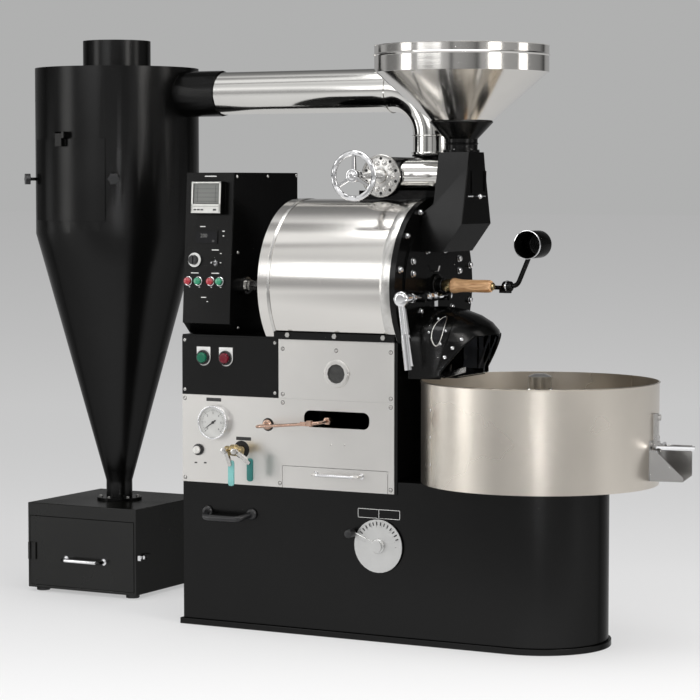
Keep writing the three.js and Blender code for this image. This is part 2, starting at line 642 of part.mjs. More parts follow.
// Two flat lever handles hang from the valve stems
function makeValveLevers() {
  const { length, width, thick, tilt, spread, hub } = valveLever;
  const front = panel.face - valve.reach - valve.body - valve.stemRise;
  const pair = [['valve_handle_left', -1, teal], ['valve_handle_right', 1, darkTeal]];
  pair.forEach(([name, side, material]) => {
    const x = valve.x + (side * spread) / 2;
    const [z, back] = [valve.z, front - seat];
    const blade = block([x - width / 2 + thick, x + width / 2 - thick], [back - thick, back],
      [z - length, z]);
    const eye = rod('y', hub, back - thick * 2, back, [x, z], count.small);
    place(name, spun(join(blade, eye), [0, 1, 0], degrees(-side * tilt / 2), [x, 0, z]), material);
  });
}

// The gas line leaves the panel, runs across it and goes back in through the window
function makeGasPipe() {
  const { inletX, inletZ, reach, radius, nut, nutDepth, fittingX, fitting, fittingSpan, slotX, bend,
    fittingZ, gasketR } = gasPipe;
  const y = panel.face - reach;
  const line = bentBar([
    [inletX, panel.face + panel.thick + nutDepth, inletZ], [inletX, y, inletZ],
    [slotX, y, fittingZ], [slotX, panel.face + panel.thick + nutDepth, fittingZ],
  ], radius, bend, count.small);
  const collar = rod('y', gasketR, panel.face - nutDepth, panel.face - seat, [inletX, inletZ], count.hex);
  const union = rod('x', fitting, fittingX - fittingSpan / 2, fittingX + fittingSpan / 2,
    [y, inletZ + (fittingZ - inletZ) * ((fittingX - inletX) / (slotX - inletX))], count.hex);
  const elbowNut = rod('y', nut, panel.face - nutDepth * 2, panel.face - nutDepth, [slotX, fittingZ],
    count.hex);
  place('copper_gas_pipe', join(line, collar, union, elbowNut), copper);
}

// A pipe burner with a row of ports stands on the cabinet floor under the drum
function makeBurner() {
  const { z, left, right, radius, ports, port, stand, y } = burnerBar;
  const tube = rod('x', radius, left, right, [y, z], count.small);
  const pitch = (right - left) / ports;
  const holes = Array.from({ length: ports }, (_, k) =>
    rod('z', port, z, z + radius + overrun, [left + pitch * (k + 1 / 2), y], count.hex));
  const floor = base.step + seat + cabinet.wall + seat + drawer.boxTop - base.step;
  const shelf = block([left, right], [drawer.wall, cabinet.rear - cabinet.wall - seat],
    [floor, floor + drawer.wall]);
  const legs = [left + stand, right - stand].map((x) =>
    block([x - stand / 2, x + stand / 2], [y + drawer.wall, y + drawer.wall + stand], [floor, z]));
  place('burner', join(cut(tube, ...holes), shelf, ...legs), castIron);
}

// Drum, jacket and end plates
function makeJacket() {
  const { outer, trimOuter, inner, left, trimWidth, right, slotWidth } = jacket;
  const shell = turned('x', closed([[inner, left], [trimOuter, left], [trimOuter, left + trimWidth],
    [outer, left + trimWidth], [outer, right], [inner, right]]), [0, drum.z], count.drum);
  const flameSlot = block([drum.left, drum.right - trimWidth], [-slotWidth / 2, slotWidth / 2],
    [drum.z - outer - overrun, drum.z - inner / 2]);
  place('drum_jacket', cut(shell, flameSlot), brushed);
}

function makeRearPlate() {
  const { left, thick, boss, bossEnd, bossDepth } = rearPlate;
  const wide = jacket.inner - seat;
  place('rear_bearing_plate', turned('x', closed([[drum.shaft + seat, left - bossDepth],
    [bossEnd, left - bossDepth], [boss, left - bossDepth / 3], [boss, left], [wide, left],
    [wide, left + thick], [drum.shaft + seat, left + thick]]), [0, drum.z], count.drum), castIron);
}

// The drum hangs on its rear shaft; its front is open, and bent vanes lift the beans
function makeDrum() {
  const { z, outer, wall, left, right, rearWall, lip, vanes, hub, shaft, shaftLeft, spokeHoles } = drum;
  const shell = turned('x', [[0, shaftLeft], [shaft, shaftLeft], [shaft, left - hub / 2],
    [hub, left - hub / 2], [hub, left], [outer, left], [outer, right], [outer - lip, right],
    [outer - lip, right - wall], [outer - wall, right - wall], [outer - wall, left + rearWall],
    [0, left + rearWall]], [0, z], count.drum);
  const vents = Array.from({ length: spokeHoles }, (_, k) => {
    const angle = (2 * Math.PI * k) / spokeHoles;
    const reach = (outer + hub) / 2;
    return rod('x', drum.spokeHole, left - overrun, left + rearWall + overrun,
      [reach * Math.cos(angle), z + reach * Math.sin(angle)], count.small);
  });
  const lifters = Array.from({ length: vanes }, (_, k) => vane((2 * Math.PI * k) / vanes));
  place('roasting_drum', join(cut(shell, ...vents), ...lifters), castIron);
}

function vane(start) {
  const { z, outer, wall, left, right, rearWall, vaneHeight, vaneThick, vaneTurn, vaneSteps } = drum;
  const rings = Array.from({ length: vaneSteps + 1 }, (_, k) => {
    const share = k / vaneSteps;
    const x = left + rearWall / 2 + (right - wall / 2 - left - rearWall / 2) * share;
    const angle = start + degrees(vaneTurn) * share;
    const [c, s] = [Math.cos(angle), Math.sin(angle)];
    const at = (radius, side) => [x, radius * c - side * s, z + radius * s + side * c];
    const [low, high, half] = [outer - wall - vaneHeight, outer - wall / 2, vaneThick / 2];
    return [at(low, -half), at(high, -half), at(high, half), at(low, half)];
  });
  return loft(rings);
}

function makeCoupling() {
  const { y, z, flat, collar, collarDepth, nut, nutDepth } = coupling;
  const start = housing.right + seat;
  const bar = rod('x', flat, start, jacket.left - seat, [y, z], count.hex);
  const flange = rod('x', collar, start, start + collarDepth, [y, z], count.round);
  const ring = rod('x', nut, start + collarDepth - seat, start + collarDepth + nutDepth, [y, z],
    count.round);
  place('rear_coupling', join(bar, flange, ring), chromed);
}

function makeFace() {
  const { back, front, radius, feedWidth, feedBottom, feedTop, outletY, outletZ, outlet: hole } = face;
  const { ringIn, ringDepth, bolt, boltDepth, boltCircle, bolts, trierHole } = face;
  const disc = rod('x', radius, back, front, [0, drum.z], count.drum);
  const dish = turned('x', closed([[ringIn, front - ringDepth], [radius + overrun, front - ringDepth],
    [radius + overrun, front + overrun], [ringIn, front + overrun]]), [0, drum.z], count.drum);
  const heads = Array.from({ length: bolts }, (_, k) => {
    const angle = (2 * Math.PI * (k + 1 / 2)) / bolts;
    return rod('x', bolt, front - ringDepth - seat, front - ringDepth + boltDepth,
      [boltCircle * Math.cos(angle), drum.z + boltCircle * Math.sin(angle)], count.hex);
  });
  const cuts = [
    block([back - overrun, front + overrun], [-feedWidth / 2, feedWidth / 2], [feedBottom, feedTop]),
    rod('x', hole, back - overrun, front + overrun, [outletY, outletZ], count.round),
    rod('x', trierHole, back - overrun, front + overrun, [0, drum.z], count.round),
  ];
  const socket = turned('x', closed([[trierHole, front - ringDepth], [trierSeat.radius, front - ringDepth],
    [trierSeat.radius, front + trierSeat.depth / 2], [trierSeat.collar, front + trierSeat.depth],
    [trierSeat.collar, front + trierSeat.collarDepth], [trierHole, front + trierSeat.collarDepth]]),
  [0, drum.z], count.round);
  const plateBody = cut(join(cut(disc, dish), ...heads), ...cuts);
  place('face_plate', join(plateBody, cut(socket, cuts[2]), ...shaftBlocks(), ...lampBracket()), satinBlack);
}

// The trier slides in the middle of the front plate and carries a wooden handle
function makeTrier() {
  const { tube, reach, handleRadius, handleLength, waist, ferrule, ferruleLength } = trier;
  const start = face.front + trierSeat.collarDepth + seat;
  const grip = start + ferruleLength;
  const end = grip + handleLength;
  const body = turned('x', [[0, face.back - reach], [tube, face.back - reach], [tube, start],
    [ferrule, start], [ferrule, grip], [handleRadius, grip + waist], [waist, grip + waist * 3],
    [handleRadius - seat, end - waist * 4], [handleRadius, end - waist], [waist, end], [0, end]],
  [0, drum.z], count.round);
  const scoop = block([face.back - reach - overrun, face.back - reach + trier.scoopLength],
    [-tube - overrun, tube + overrun], [drum.z, drum.z + tube + overrun]);
  const bowl = rod('x', tube - seat * 4, face.back - reach + tube / 2,
    face.back - reach + trier.scoopLength - tube / 2, [0, drum.z], count.small);
  place('trier', cut(body, scoop, bowl), timber);
}

// A bar on the front plate ends in the lower half of the knuckle that the lamp turns on
function lampBracket() {
  const { y, z, rod: bar, knuckleX, knuckle, knuckleSpan, flange, flangeDepth } = lamp;
  const root = face.front - face.ringDepth;
  const [back, neck] = [knuckleX - knuckle * 2, knuckleX - knuckle - bar];
  const low = z - knuckleSpan / 2;
  const under = z - knuckle / 2 - seat;
  return [
    rod('x', flange, root, face.front + flangeDepth, [y, z], count.small),
    rod('x', bar, root, neck, [y, z]),
    block([back, neck], [y - bar, y + bar], [low, z + bar]),
    block([back, knuckleX], [y - bar, y + bar], [low, under]),
    rod('z', knuckle, low, under, [knuckleX, y], count.small),
  ];
}

function makeLamp() {
  const { y, z, rod: bar, knuckleX, knuckle, elbowX, topX, topZ, cupX, cupZ, cup } = lamp;
  const { cupWall, cupDepth, mouthY } = lamp;
  const swivel = rod('z', knuckle, z - knuckle / 2, z + knuckle, [knuckleX, y], count.small);
  const neck = bentBar([[knuckleX, y, z + bar / 2], [elbowX, y, z + bar / 2], [topX, y, topZ],
    [cupX, y, cupZ]], bar, bar * 3);
  const rear = mouthY + cupDepth;
  const shade = turned('y', closed([[0, rear - cupWall * 2], [cup - cupWall * 3, rear - cupWall * 2],
    [cup - cupWall, rear - cup / 2], [cup - cupWall, mouthY], [cup, mouthY], [cup, rear - cup / 2],
    [cup - cupWall * 2, rear], [0, rear]]), [cupX, cupZ], count.pipe);
  const clear = turned('y', [[0, mouthY - overrun], [cup - cupWall, mouthY - overrun],
    [cup - cupWall, rear - cup / 2], [cup - cupWall * 3, rear - cupWall * 2],
    [0, rear - cupWall * 2]], [cupX, cupZ], count.pipe);
  place('inspection_lamp', join(cut(join(swivel, neck), clear), shade), satinBlack);
}

// The hood is half a dome on the front plate, cut off at a slant where the beans fall out
function domeRing(grow, height) {
  const { halfWidth, reach, rise, middle, arcs } = hood;
  const up = Math.max(height - middle, 0) / (rise + grow);
  const share = Math.sqrt(Math.max(1 - up * up, 0));
  return Array.from({ length: arcs + 1 }, (_, k) => {
    const angle = -Math.PI / 2 + (Math.PI * k) / arcs;
    return [face.front + seat + (reach + grow) * share * Math.cos(angle),
      (halfWidth + grow) * share * Math.sin(angle), height];
  });
}

function dome(grow, low) {
  const { rise, middle, rings } = hood;
  const rows = [domeRing(grow, low)];
  for (let k = 0; k < rings; k += 1) {
    rows.push(domeRing(grow, middle + (rise + grow) * Math.sin((k / rings) * (Math.PI / 2))));
  }
  return loft(rows);
}

function makeHood() {
  const { halfWidth, low, wall, middle, rise, mouthTopX, mouthTopZ, mouthLowX, mouthLowZ } = hood;
  const { lip, lipWidth, notchWidth, notchDepth, sightX, sightZ, sightBar, sightY, sightRise } = hood;
  const wide = [-halfWidth - overrun, halfWidth + overrun];
  const inside = dome(-wall, low - overrun).translate(-wall, 0, 0);
  const slant = prism('y', outline([
    [mouthTopX, mouthTopZ], [mouthLowX, mouthLowZ], [mouthLowX, low - overrun],
    [face.front + hood.reach + halfWidth, low - overrun], [face.front + hood.reach + halfWidth, mouthTopZ],
  ]), ...wide);
  const notch = block([face.front - overrun, face.front + notchDepth],
    [face.outletY - notchWidth / 2, face.outletY + notchWidth / 2],
    [middle + rise / 2, middle + rise + overrun]);
  const centre = [mouthTopX - (mouthTopX - face.front) / 2, middle + sightRise];
  const oval = (a, b) => {
    const ring = ringPoints(1, count.round).map(([u, v]) => [centre[0] + a * u, centre[1] + b * v]);
    return prism('y', outline(ring), sightY - halfWidth, sightY + sightBar);
  };
  const shell = cut(dome(0, low), inside, slant, notch);
  const frame = cut(common(oval(sightX + sightBar, sightZ + sightBar), dome(sightBar, low)), inside);
  const chuteLip = prism('y', outline([
    [face.front + seat, low + lip / 2], [mouthLowX + lip / 3, low + wall], [mouthLowX + lip / 3, low],
    [face.front + seat, low]]), -lipWidth, lipWidth);
  const lipHollow = prism('y', outline([
    [face.front, low + lip], [face.front, low + lip / 2 + wall], [mouthLowX + lip / 3, low + wall * 2],
    [mouthLowX + lip, low + lip]]), -lipWidth + wall, lipWidth - wall);
  place('discharge_hood', join(cut(join(shell, frame), oval(sightX, sightZ)),
    cut(join(chuteLip, lipSides()), lipHollow)), satinBlack);
}

function lipSides() {
  const { low, mouthLowX, lip, lipWidth, halfWidth } = hood;
  const sides = block([face.front + seat, mouthLowX + lip / 4], [-lipWidth, lipWidth],
    [low, low + lip / 4]);
  const floor = block([face.front + seat, face.front + lip / 2], [-halfWidth, halfWidth],
    [low, low + hood.wall]);
  return join(sides, common(floor, dome(0, low)));
}

// Discharge door, its shaft and its lever turn as one
function makeDoor() {
  const { shaftX, shaftZ, shaft, hubY, shaftEnd, radius, thick, arm, armThick } = door;
  const { leverDrop, leverTop, leverWidth, hub, hubDepth, lean, earY, ear, earDepth } = door;
  const y = face.outletY;
  const back = face.front + seat;
  const disc = rod('x', radius, back, back + thick, [y, face.outletZ], count.pipe);
  const strap = block([back, back + armThick], [y - arm / 2, y + arm / 2],
    [face.outletZ - radius / 2, shaftZ]);
  const bar = rod('y', shaft, hubY, shaftEnd, [shaftX, shaftZ], count.small);
  const web = block([back, shaftX], [y - arm / 2, y + arm / 2], [shaftZ - shaft, shaftZ]);
  const boss = rod('y', hub, hubY - hubDepth / 2, hubY + hubDepth / 2, [shaftX, shaftZ], count.round);
  const ears = [earY, earY + ear * 3].map((at) => rod('y', shaft + ear / 2, at, at + earDepth,
    [shaftX, shaftZ], count.small));
  const blade = prism('y', outline([
    [shaftX - leverWidth, shaftZ], [shaftX + leverWidth, shaftZ],
    [shaftX + leverTop, shaftZ - leverDrop], [shaftX - leverTop / 2, shaftZ - leverDrop]]),
  hubY - hubDepth / 2, hubY - hubDepth / 2 + leverWidth);
  const lever = spun(blade, [0, 1, 0], -degrees(lean), [shaftX, 0, shaftZ]);
  place('discharge_door', join(bar, web, strap, disc, boss, lever, ...ears), chromed);
}

// Two pillow blocks on the front plate carry the shaft of the discharge door
function shaftBlocks() {
  const { shaftX, shaftZ, shaft, earY, ear } = door;
  return [earY - ear * 4, door.shaftEnd - ear * 2].map((at) => cut(
    block([face.front - face.ringDepth, shaftX + shaft + ear / 2], [at, at + ear],
      [shaftZ - shaft - ear / 2, shaftZ + shaft + ear / 2]),
    rod('y', around(shaft, count.small), at - overrun, at + ear + overrun, [shaftX, shaftZ],
      count.small)));
}

// Feed
function makeHopper() {
  const { x, rim, rimTop, bead, beadOut, beadRise, bandBottom, ledge, neck, bottom, wall } = hopper;
  place('hopper', turned('z', closed([
    [neck, bottom], [ledge, bandBottom], [rim, bandBottom], [rim, bead], [rim + beadOut, bead + beadRise],
    [rim, bead + beadRise * 2], [rim, rimTop - wall], [rim + wall, rimTop], [rim - wall, rimTop],
    [rim - wall, bandBottom + wall], [ledge - wall, bandBottom + wall], [neck - wall, bottom + wall],
    [neck - wall, bottom]]), [x, 0], count.hopper), polished);
}

function makeCone() {
  const { top, mouth, neck, neckTop, ring, ringOut, ringRise, bottom, flange, flangeRise, wall } = cone;
  place('hopper_neck', turned('z', closed([
    [mouth, top], [mouth, top - wall], [neck, neckTop], [neck, ring + ringRise], [neck + ringOut, ring],
    [neck, ring - ringRise], [neck, bottom + flangeRise], [flange, bottom + flangeRise], [flange, bottom],
    [neck - wall, bottom], [neck - wall, neckTop], [mouth - wall, top]]), [hopper.x, 0], count.pipe),
  satinBlack);
}

// The feed chute is faceted: wide at the waist and drawn in to the neck and to the drum
function chuteForm(inset) {
  const { back, front, top, shoulder, shoulderHalf, topHalf, waist, waistHalf, bottom } = chute;
  const { noseX, plateTop, plateJoin } = chute;
  const join0 = face.front + seat;
  const reachTop = inset ? top + overrun : top;
  const side = prism('y', outline([
    [back + inset, reachTop], [back + inset, plateTop - inset], [join0 - inset * 2, plateJoin - inset],
    [join0 - inset * 2, bottom + inset], [noseX - inset, bottom + inset], [front - inset, waist + inset / 2],
    [front - inset, reachTop]]), -waistHalf - overrun, waistHalf + overrun);
  const face0 = prism('x', outline([
    [-topHalf + inset, reachTop], [-topHalf + inset, top], [-shoulderHalf + inset, shoulder],
    [-waistHalf + inset, waist], [-waistHalf + inset, bottom - overrun],
    [waistHalf - inset, bottom - overrun], [waistHalf - inset, waist], [shoulderHalf - inset, shoulder],
    [topHalf - inset, top], [topHalf - inset, reachTop]]), join0 - inset * 2 - overrun, front + overrun);
  return common(side, face0);
}

function makeChute() {
  const { front, wall } = chute;
  const { z, thick, rod: bar, slack, y, slotY, guide, guideThick, guideDrop, guideRise } = gate;
  const guideTop = chute.shoulder - guideDrop;
  const slit = block([chute.back + wall / 2, front + overrun],
    [-chute.shoulderHalf, chute.shoulderHalf], [z - thick / 2 - slack, z + thick / 2 + slack]);
  const guides = [[y, z + bar * 2], [slotY, guideTop - guideRise]].map(([at, low]) =>
    block([front - seat, front + guideThick], [at - guide / 2, at + guide / 2], [low, guideTop]));
  const tubeHole = rod('x', damper.tube - damper.wall, chute.back - overrun, chute.back + wall + overrun,
    [damper.tubeY, damper.z], count.round);
  const shell = cut(chuteForm(0), chuteForm(wall), slit, tubeHole);
  place('hopper_chute', join(shell, ...guides), satinBlack);
}

// The feed gate is a flat slide across the chute, pulled by a rod with a round knob
function makeGate() {
  const { z, thick, rod: bar, knob, y, rodOut } = gate;
  const half = chute.shoulderHalf - seat * 2;
  const leaf = block([chute.back + chute.wall + seat, chute.front + thick], [-half, half],
    [z - thick / 2, z + thick / 2]);
  const pull = rod('x', bar, chute.front, chute.front + rodOut + knob, [y, z], count.small);
  const ball = new THREE.SphereGeometry(knob, count.small, count.hex);
  const end = tidy(ball.translate(chute.front + rodOut + knob, y, z));
  place('hopper_gate', join(leaf, pull, end), chromed);
}

// Damper housing: a drum on a saddle over the jacket, with a riser at the back
function makeDamper() {
  const { x, z, radius, wall, frontY, riserX, riserY, riser, riserTop, tubeY, tube, tubeBoss } = damper;
  const { tubeLeft, web, webY, windows: gaps, saddleLeft, saddleRight, saddleFront, saddleRear } = damper;
  const { saddleTop, saddleArch, riserFlange, flangeRise } = damper;
  const barrel = rod('y', radius, frontY, riserY, [x, z], count.pipe);
  const column = rod('z', riser, z - riser, riserTop, [riserX, riserY], count.pipe);
  const branch = rod('x', tubeBoss, x, tubeLeft, [tubeY, z], count.pipe);
  const ring = rod('z', riser + riserFlange, riserTop - flangeRise, riserTop, [riserX, riserY],
    count.pipe);
  const saddle = cut(
    block([saddleLeft, saddleRight], [saddleFront, saddleRear], [drum.z + saddleArch, saddleTop]),
    rod('x', jacket.outer + seat * 2, saddleLeft - overrun, saddleRight + overrun, [0, drum.z],
      count.drum),
    rod('x', tube + seat * 2, tubeLeft, saddleRight + overrun, [tubeY, z], count.pipe));
  const bore = rod('y', radius - wall, frontY + wall, webY, [x, z], count.pipe);
  const bore2 = rod('y', radius - wall, webY + web, riserY, [x, z], count.pipe);
  const columnBore = rod('z', riser - wall, z - riser + wall, riserTop + overrun, [riserX, riserY],
    count.pipe);
  const branchBore = rod('x', tubeBoss - wall, x, tubeLeft + overrun, [tubeY, z], count.pipe);
  const webGaps = windows('y', [x, z], handwheel.shaft * 2, damper.shutter - wall, gaps, 1 / 2,
    webY - overrun, webY + web + overrun);
  const shaftHole = rod('y', around(handwheel.shaft, count.small), frontY - indexPlate.thick * 4 - overrun,
    webY + web + overrun, [x, z], count.small);
  const neck = rod('y', indexPlate.boss, indexPlate.y + indexPlate.thick + seat, frontY + wall, [x, z],
    count.round);
  place('damper_housing', cut(join(barrel, column, ring, branch, saddle, neck), bore, bore2, columnBore,
    branchBore, ...webGaps, shaftHole), satinBlack);
}

function makeIndexPlate() {
  const { radius, y, thick, slots, slot: hole, slotCircle } = indexPlate;
  const disc = rod('y', radius, y, y + thick, [damper.x, damper.z], count.pipe);
  const centre = rod('y', around(handwheel.shaft, count.small), y - overrun, y + thick + overrun,
    [damper.x, damper.z], count.small);
  const holes = Array.from({ length: slots }, (_, k) => {
    const angle = (2 * Math.PI * k) / slots;
    return rod('y', hole, y - overrun, y + thick + overrun,
      [damper.x + slotCircle * Math.cos(angle), damper.z + slotCircle * Math.sin(angle)], count.hex + 2);
  });
  place('index_plate', cut(disc, centre, ...holes), chromed);
}

// A three-spoked handwheel on the damper shaft turns a shutter against the web inside
function makeHandwheel() {
  const { y, radius, rim, hub, hubDepth, spokes, spoke, dish, shaft } = handwheel;
  const [x, z] = [damper.x, damper.z];
  const ring = new THREE.TorusGeometry(radius, rim, count.hex + 2, count.pipe);
  const wheel = tidy(ring.rotateX(Math.PI / 2).translate(x, y, z));
  const middle = rod('y', hub, y - hubDepth / 2, y + hubDepth / 2 + dish, [x, z], count.round);
  const arms = Array.from({ length: spokes }, (_, k) => {
    const angle = (2 * Math.PI * k) / spokes + Math.PI / 2;
    const at = (reach) => new THREE.Vector3(x + reach * Math.cos(angle), y, z + reach * Math.sin(angle));
    return sweep([at(hub / 2), at(radius)], spoke, count.hex + 2);
  });
  const end = damper.webY - seat;
  const axle = rod('y', shaft, y, end, [x, z], count.small);
  const shutter = cut(rod('y', damper.shutter, end - damper.web, end, [x, z], count.pipe),
    ...windows('y', [x, z], shaft * 2, damper.shutter - damper.web, damper.windows, 1 / 2,
      end - damper.web - overrun, end + overrun, Math.PI / damper.windows));
  place('damper_handwheel', join(wheel, middle, ...arms, axle, shutter), chromed);
}

// Polished pipes
function extended(stops) {
  const [first, second] = stops;
  const [last, before] = [stops[stops.length - 1], stops[stops.length - 2]];
  const grow = (end, inner) => end.clone().add(end.clone().sub(inner).setLength(overrun));
  return [grow(first, second), ...stops.slice(1, -1), grow(last, before)];
}

function makePipes() {
  const { tubeY, tube, tubeLeft, tubeRight, z, riserX, riserY, riserTop, wall } = damper;
  place('exhaust_tube', turned('x', closed([[tube - wall, tubeLeft + seat], [tube, tubeLeft + seat],
    [tube, tubeRight], [tube - wall, tubeRight]]), [tubeY, z], count.pipe), polished);

  const { radius, wall: skin, bend, seamZ, bead, beadWidth, steps, left } = pipe;
  const low = riserTop + seat;
  const elbowPoints = [new THREE.Vector3(riserX, riserY, low)];
  for (let k = 0; k <= steps; k += 1) {
    const angle = (Math.PI / 2) * (k / steps);
    elbowPoints.push(new THREE.Vector3(riserX - bend + bend * Math.cos(angle), riserY,
      seamZ + bend * Math.sin(angle)));
  }
  elbowPoints.push(new THREE.Vector3(riserX - bend - beadWidth, riserY, seamZ + bend));
  const seam = rod('z', radius + bead, seamZ - beadWidth, seamZ, [riserX, riserY], count.pipe);
  const elbowEnd = riserX - bend - beadWidth;
  const runZ = seamZ + bend;
  const inner = sweep(extended(elbowPoints), radius - skin, count.pipe);
  place('exhaust_elbow', cut(join(sweep(elbowPoints, radius, count.pipe), seam), inner), polished);

  place('exhaust_pipe', turned('x', closed([[radius - skin, left], [radius, left],
    [radius, elbowEnd - seat - beadWidth], [radius + bead, elbowEnd - seat - beadWidth],
    [radius + bead, elbowEnd - seat], [radius - skin, elbowEnd - seat]]), [riserY, runZ], count.pipe),
  polished);
}

// Cyclone
function makeCyclone() {
  const { x, y, radius, top, bodyBottom, neck, coneBottom, bottom, wall, stub, stubTop } = cyclone;
  const { flange, flangeRise, collar, collarWall, deepest } = cyclone;
  const body = turned('z', closed([
    [stub, stubTop], [stub, top], [radius, top], [radius, bodyBottom], [neck, coneBottom],
    [neck, bottom + flangeRise], [flange, bottom + flangeRise], [flange, bottom], [neck - wall, bottom],
    [neck - wall, coneBottom], [radius - wall, bodyBottom], [radius - wall, top - wall],
    [stub - wall, top - wall], [stub - wall, stubTop]]), [x, y], count.cyclone);
  const runZ = pipe.seamZ + pipe.bend;
  const side = x + radius * Math.cos(Math.asin(collar / radius));
  const sleeve = rod('x', collar, side - deepest, pipe.left - seat, [damper.riserY, runZ], count.pipe);
  const bore = rod('x', collar - collarWall, x + deepest, pipe.left, [damper.riserY, runZ], count.pipe);
  const core = rod('z', radius - wall, bodyBottom, top - wall, [x, y], count.cyclone);
  const openings = curvedPatch(radius - wall * 2, radius + wall * 2, hatch.holeInset);
  const studs = hatchStuds();
  place('cyclone_body', join(cut(join(body, cut(sleeve, core)), bore, openings), ...studs,
    ...hatchLugs()), satinBlack);
}

const hatchFrame = (angle, radius, z) => [
  cyclone.x + radius * Math.cos(degrees(angle)), cyclone.y + radius * Math.sin(degrees(angle)), z];

// A patch of the cyclone's wall between two radii, drawn in from the door's edges by the inset
function curvedPatch(inner, outer, inset) {
  const half = hatch.halfSpan - THREE.MathUtils.radToDeg(inset / cyclone.radius);
  const arc = (radius, order) => Array.from({ length: hatch.doorSides + 1 }, (_, k) => {
    const angle = hatch.bearing + order * half * ((2 * k) / hatch.doorSides - 1);
    return hatchFrame(angle, radius, 0).slice(0, 2);
  });
  return prism('z', outline([...arc(outer, 1), ...arc(inner, -1)]), hatch.bottom + inset,
    hatch.top - inset);
}

const hatchAxis = () => {
  const radius = cyclone.radius + hatch.pinOut;
  return hatchFrame(hatch.bearing, radius, hatch.top + hatch.pinOut);
};

// Blocks placed in the door's own directions: tangent, outward and up
function hatchBlock([t0, t1], [r0, r1], [z0, z1], bearing = hatch.bearing) {
  const form = block([r0, r1], [t0, t1], [z0, z1]);
  form.rotateZ(degrees(bearing)).translate(cyclone.x, cyclone.y, 0);
  return tidy(form);
}

function hatchLugs() {
  const { lugWidth, pin, pinOut, top } = hatch;
  const [reach, z] = [cyclone.radius + pinOut, top + pinOut];
  return [-1, 1].map((side) => {
    const from = side * (lugWidth / 2 + seat);
    const ends = [from, from + side * (lugWidth / 3)].sort((a, b) => a - b);
    return cut(
      hatchBlock(ends, [cyclone.radius - cyclone.wall, reach + pin * 2], [z - pin * 2, z + pin * 2]),
      hatchPin(around(pin, count.small), lugWidth * 2));
  });
}

function hatchPin(radius, span) {
  const form = rod('y', radius, -span / 2, span / 2,
    [cyclone.radius + hatch.pinOut, hatch.top + hatch.pinOut], count.small);
  form.rotateZ(degrees(hatch.bearing)).translate(cyclone.x, cyclone.y, 0);
  return tidy(form);
}

function hatchStuds() {
  return [-1, 1].map((side) => {
    const angle = hatch.bearing + side * (hatch.halfSpan + hatch.tab / 4);
    return hatchBlock([-hatch.stud, hatch.stud],
      [cyclone.radius - cyclone.wall, cyclone.radius + hatch.tabOut],
      [hatch.knobZ - hatch.stud, hatch.knobZ + hatch.stud], angle);
  });
}

function makeHatch() {
  const { thick, lugWidth, pinOut, top, pin } = hatch;
  const outer = cyclone.radius + seat + thick;
  const leaf = curvedPatch(cyclone.radius + seat, outer, 0);
  const z = top + pinOut;
  const lug = hatchBlock([-lugWidth / 2, lugWidth / 2],
    [cyclone.radius + seat * 2, cyclone.radius + pinOut + pin * 2], [top - pinOut * 2, z + pin]);
  const bar = hatchPin(pin, hatch.pinSpan);
  place('cyclone_door', join(leaf, lug, bar), satinBlack);

  [['star_knob_left', -1], ['star_knob_right', 1]].forEach(([name, side]) => {
    const angle = hatch.bearing + side * (hatch.halfSpan + hatch.tab / 4);
    place(name, starKnob(angle), blackPlastic);
  });
}

// A star knob screws onto its stud and holds the edge of the door
function starKnob(angle) {
  const { star, starInner, starDepth, points, tabOut, knobZ } = hatch;
  const rim = Array.from({ length: points * 2 }, (_, k) => {
    const turn = (Math.PI * k) / points;
    const reach = k % 2 ? starInner : star;
    return [reach * Math.cos(turn), knobZ + reach * Math.sin(turn)];
  });
  const start = cyclone.radius + tabOut + seat;
  const head = prism('x', outline(rim), start, start + starDepth);
  head.rotateZ(degrees(angle)).translate(cyclone.x, cyclone.y, 0);
  return tidy(head);
}

// Chaff box
function makeChaffBox() {
  const { left, right, front, rear, bottom, top, wall, doorTop, doorBottom, doorInset } = chaff;
  const { foot, footInset, hole, doorThick, frame } = chaff;
  const body = block([left, right], [front, rear], [bottom, top]);
  const hollow = block([left + wall, right - wall], [front + wall + doorThick + seat, rear - wall],
    [bottom + wall, top - wall]);
  const [x0, x1] = [left + doorInset, right - doorInset];
  const recess = block([x0, x1], [front - overrun, front + doorThick + seat], [doorBottom, doorTop]);
  const mouth = block([x0 + frame, x1 - frame], [front - overrun, front + wall * 3 + doorThick],
    [doorBottom + frame / 2, doorTop - frame]);
  const inlet = rod('z', hole, top - overrun, top + overrun, [cyclone.x, cyclone.y], count.pipe);
  const feet = [left + footInset, right - footInset].flatMap((x) =>
    [front + footInset, rear - footInset].map((y) => rod('z', foot, 0, bottom + wall / 2, [x, y])));
  const keeper = block([right - wall, right + latch.proud],
    [latch.y + latch.length / 2 + chaff.play, latch.y + latch.length / 2 + chaff.play + latch.width],
    [latch.z - latch.width / 2, latch.z + latch.width / 2]);
  place('chaff_box', join(cut(body, hollow, recess, mouth, inlet), ...feet, keeper), satinBlack);
}

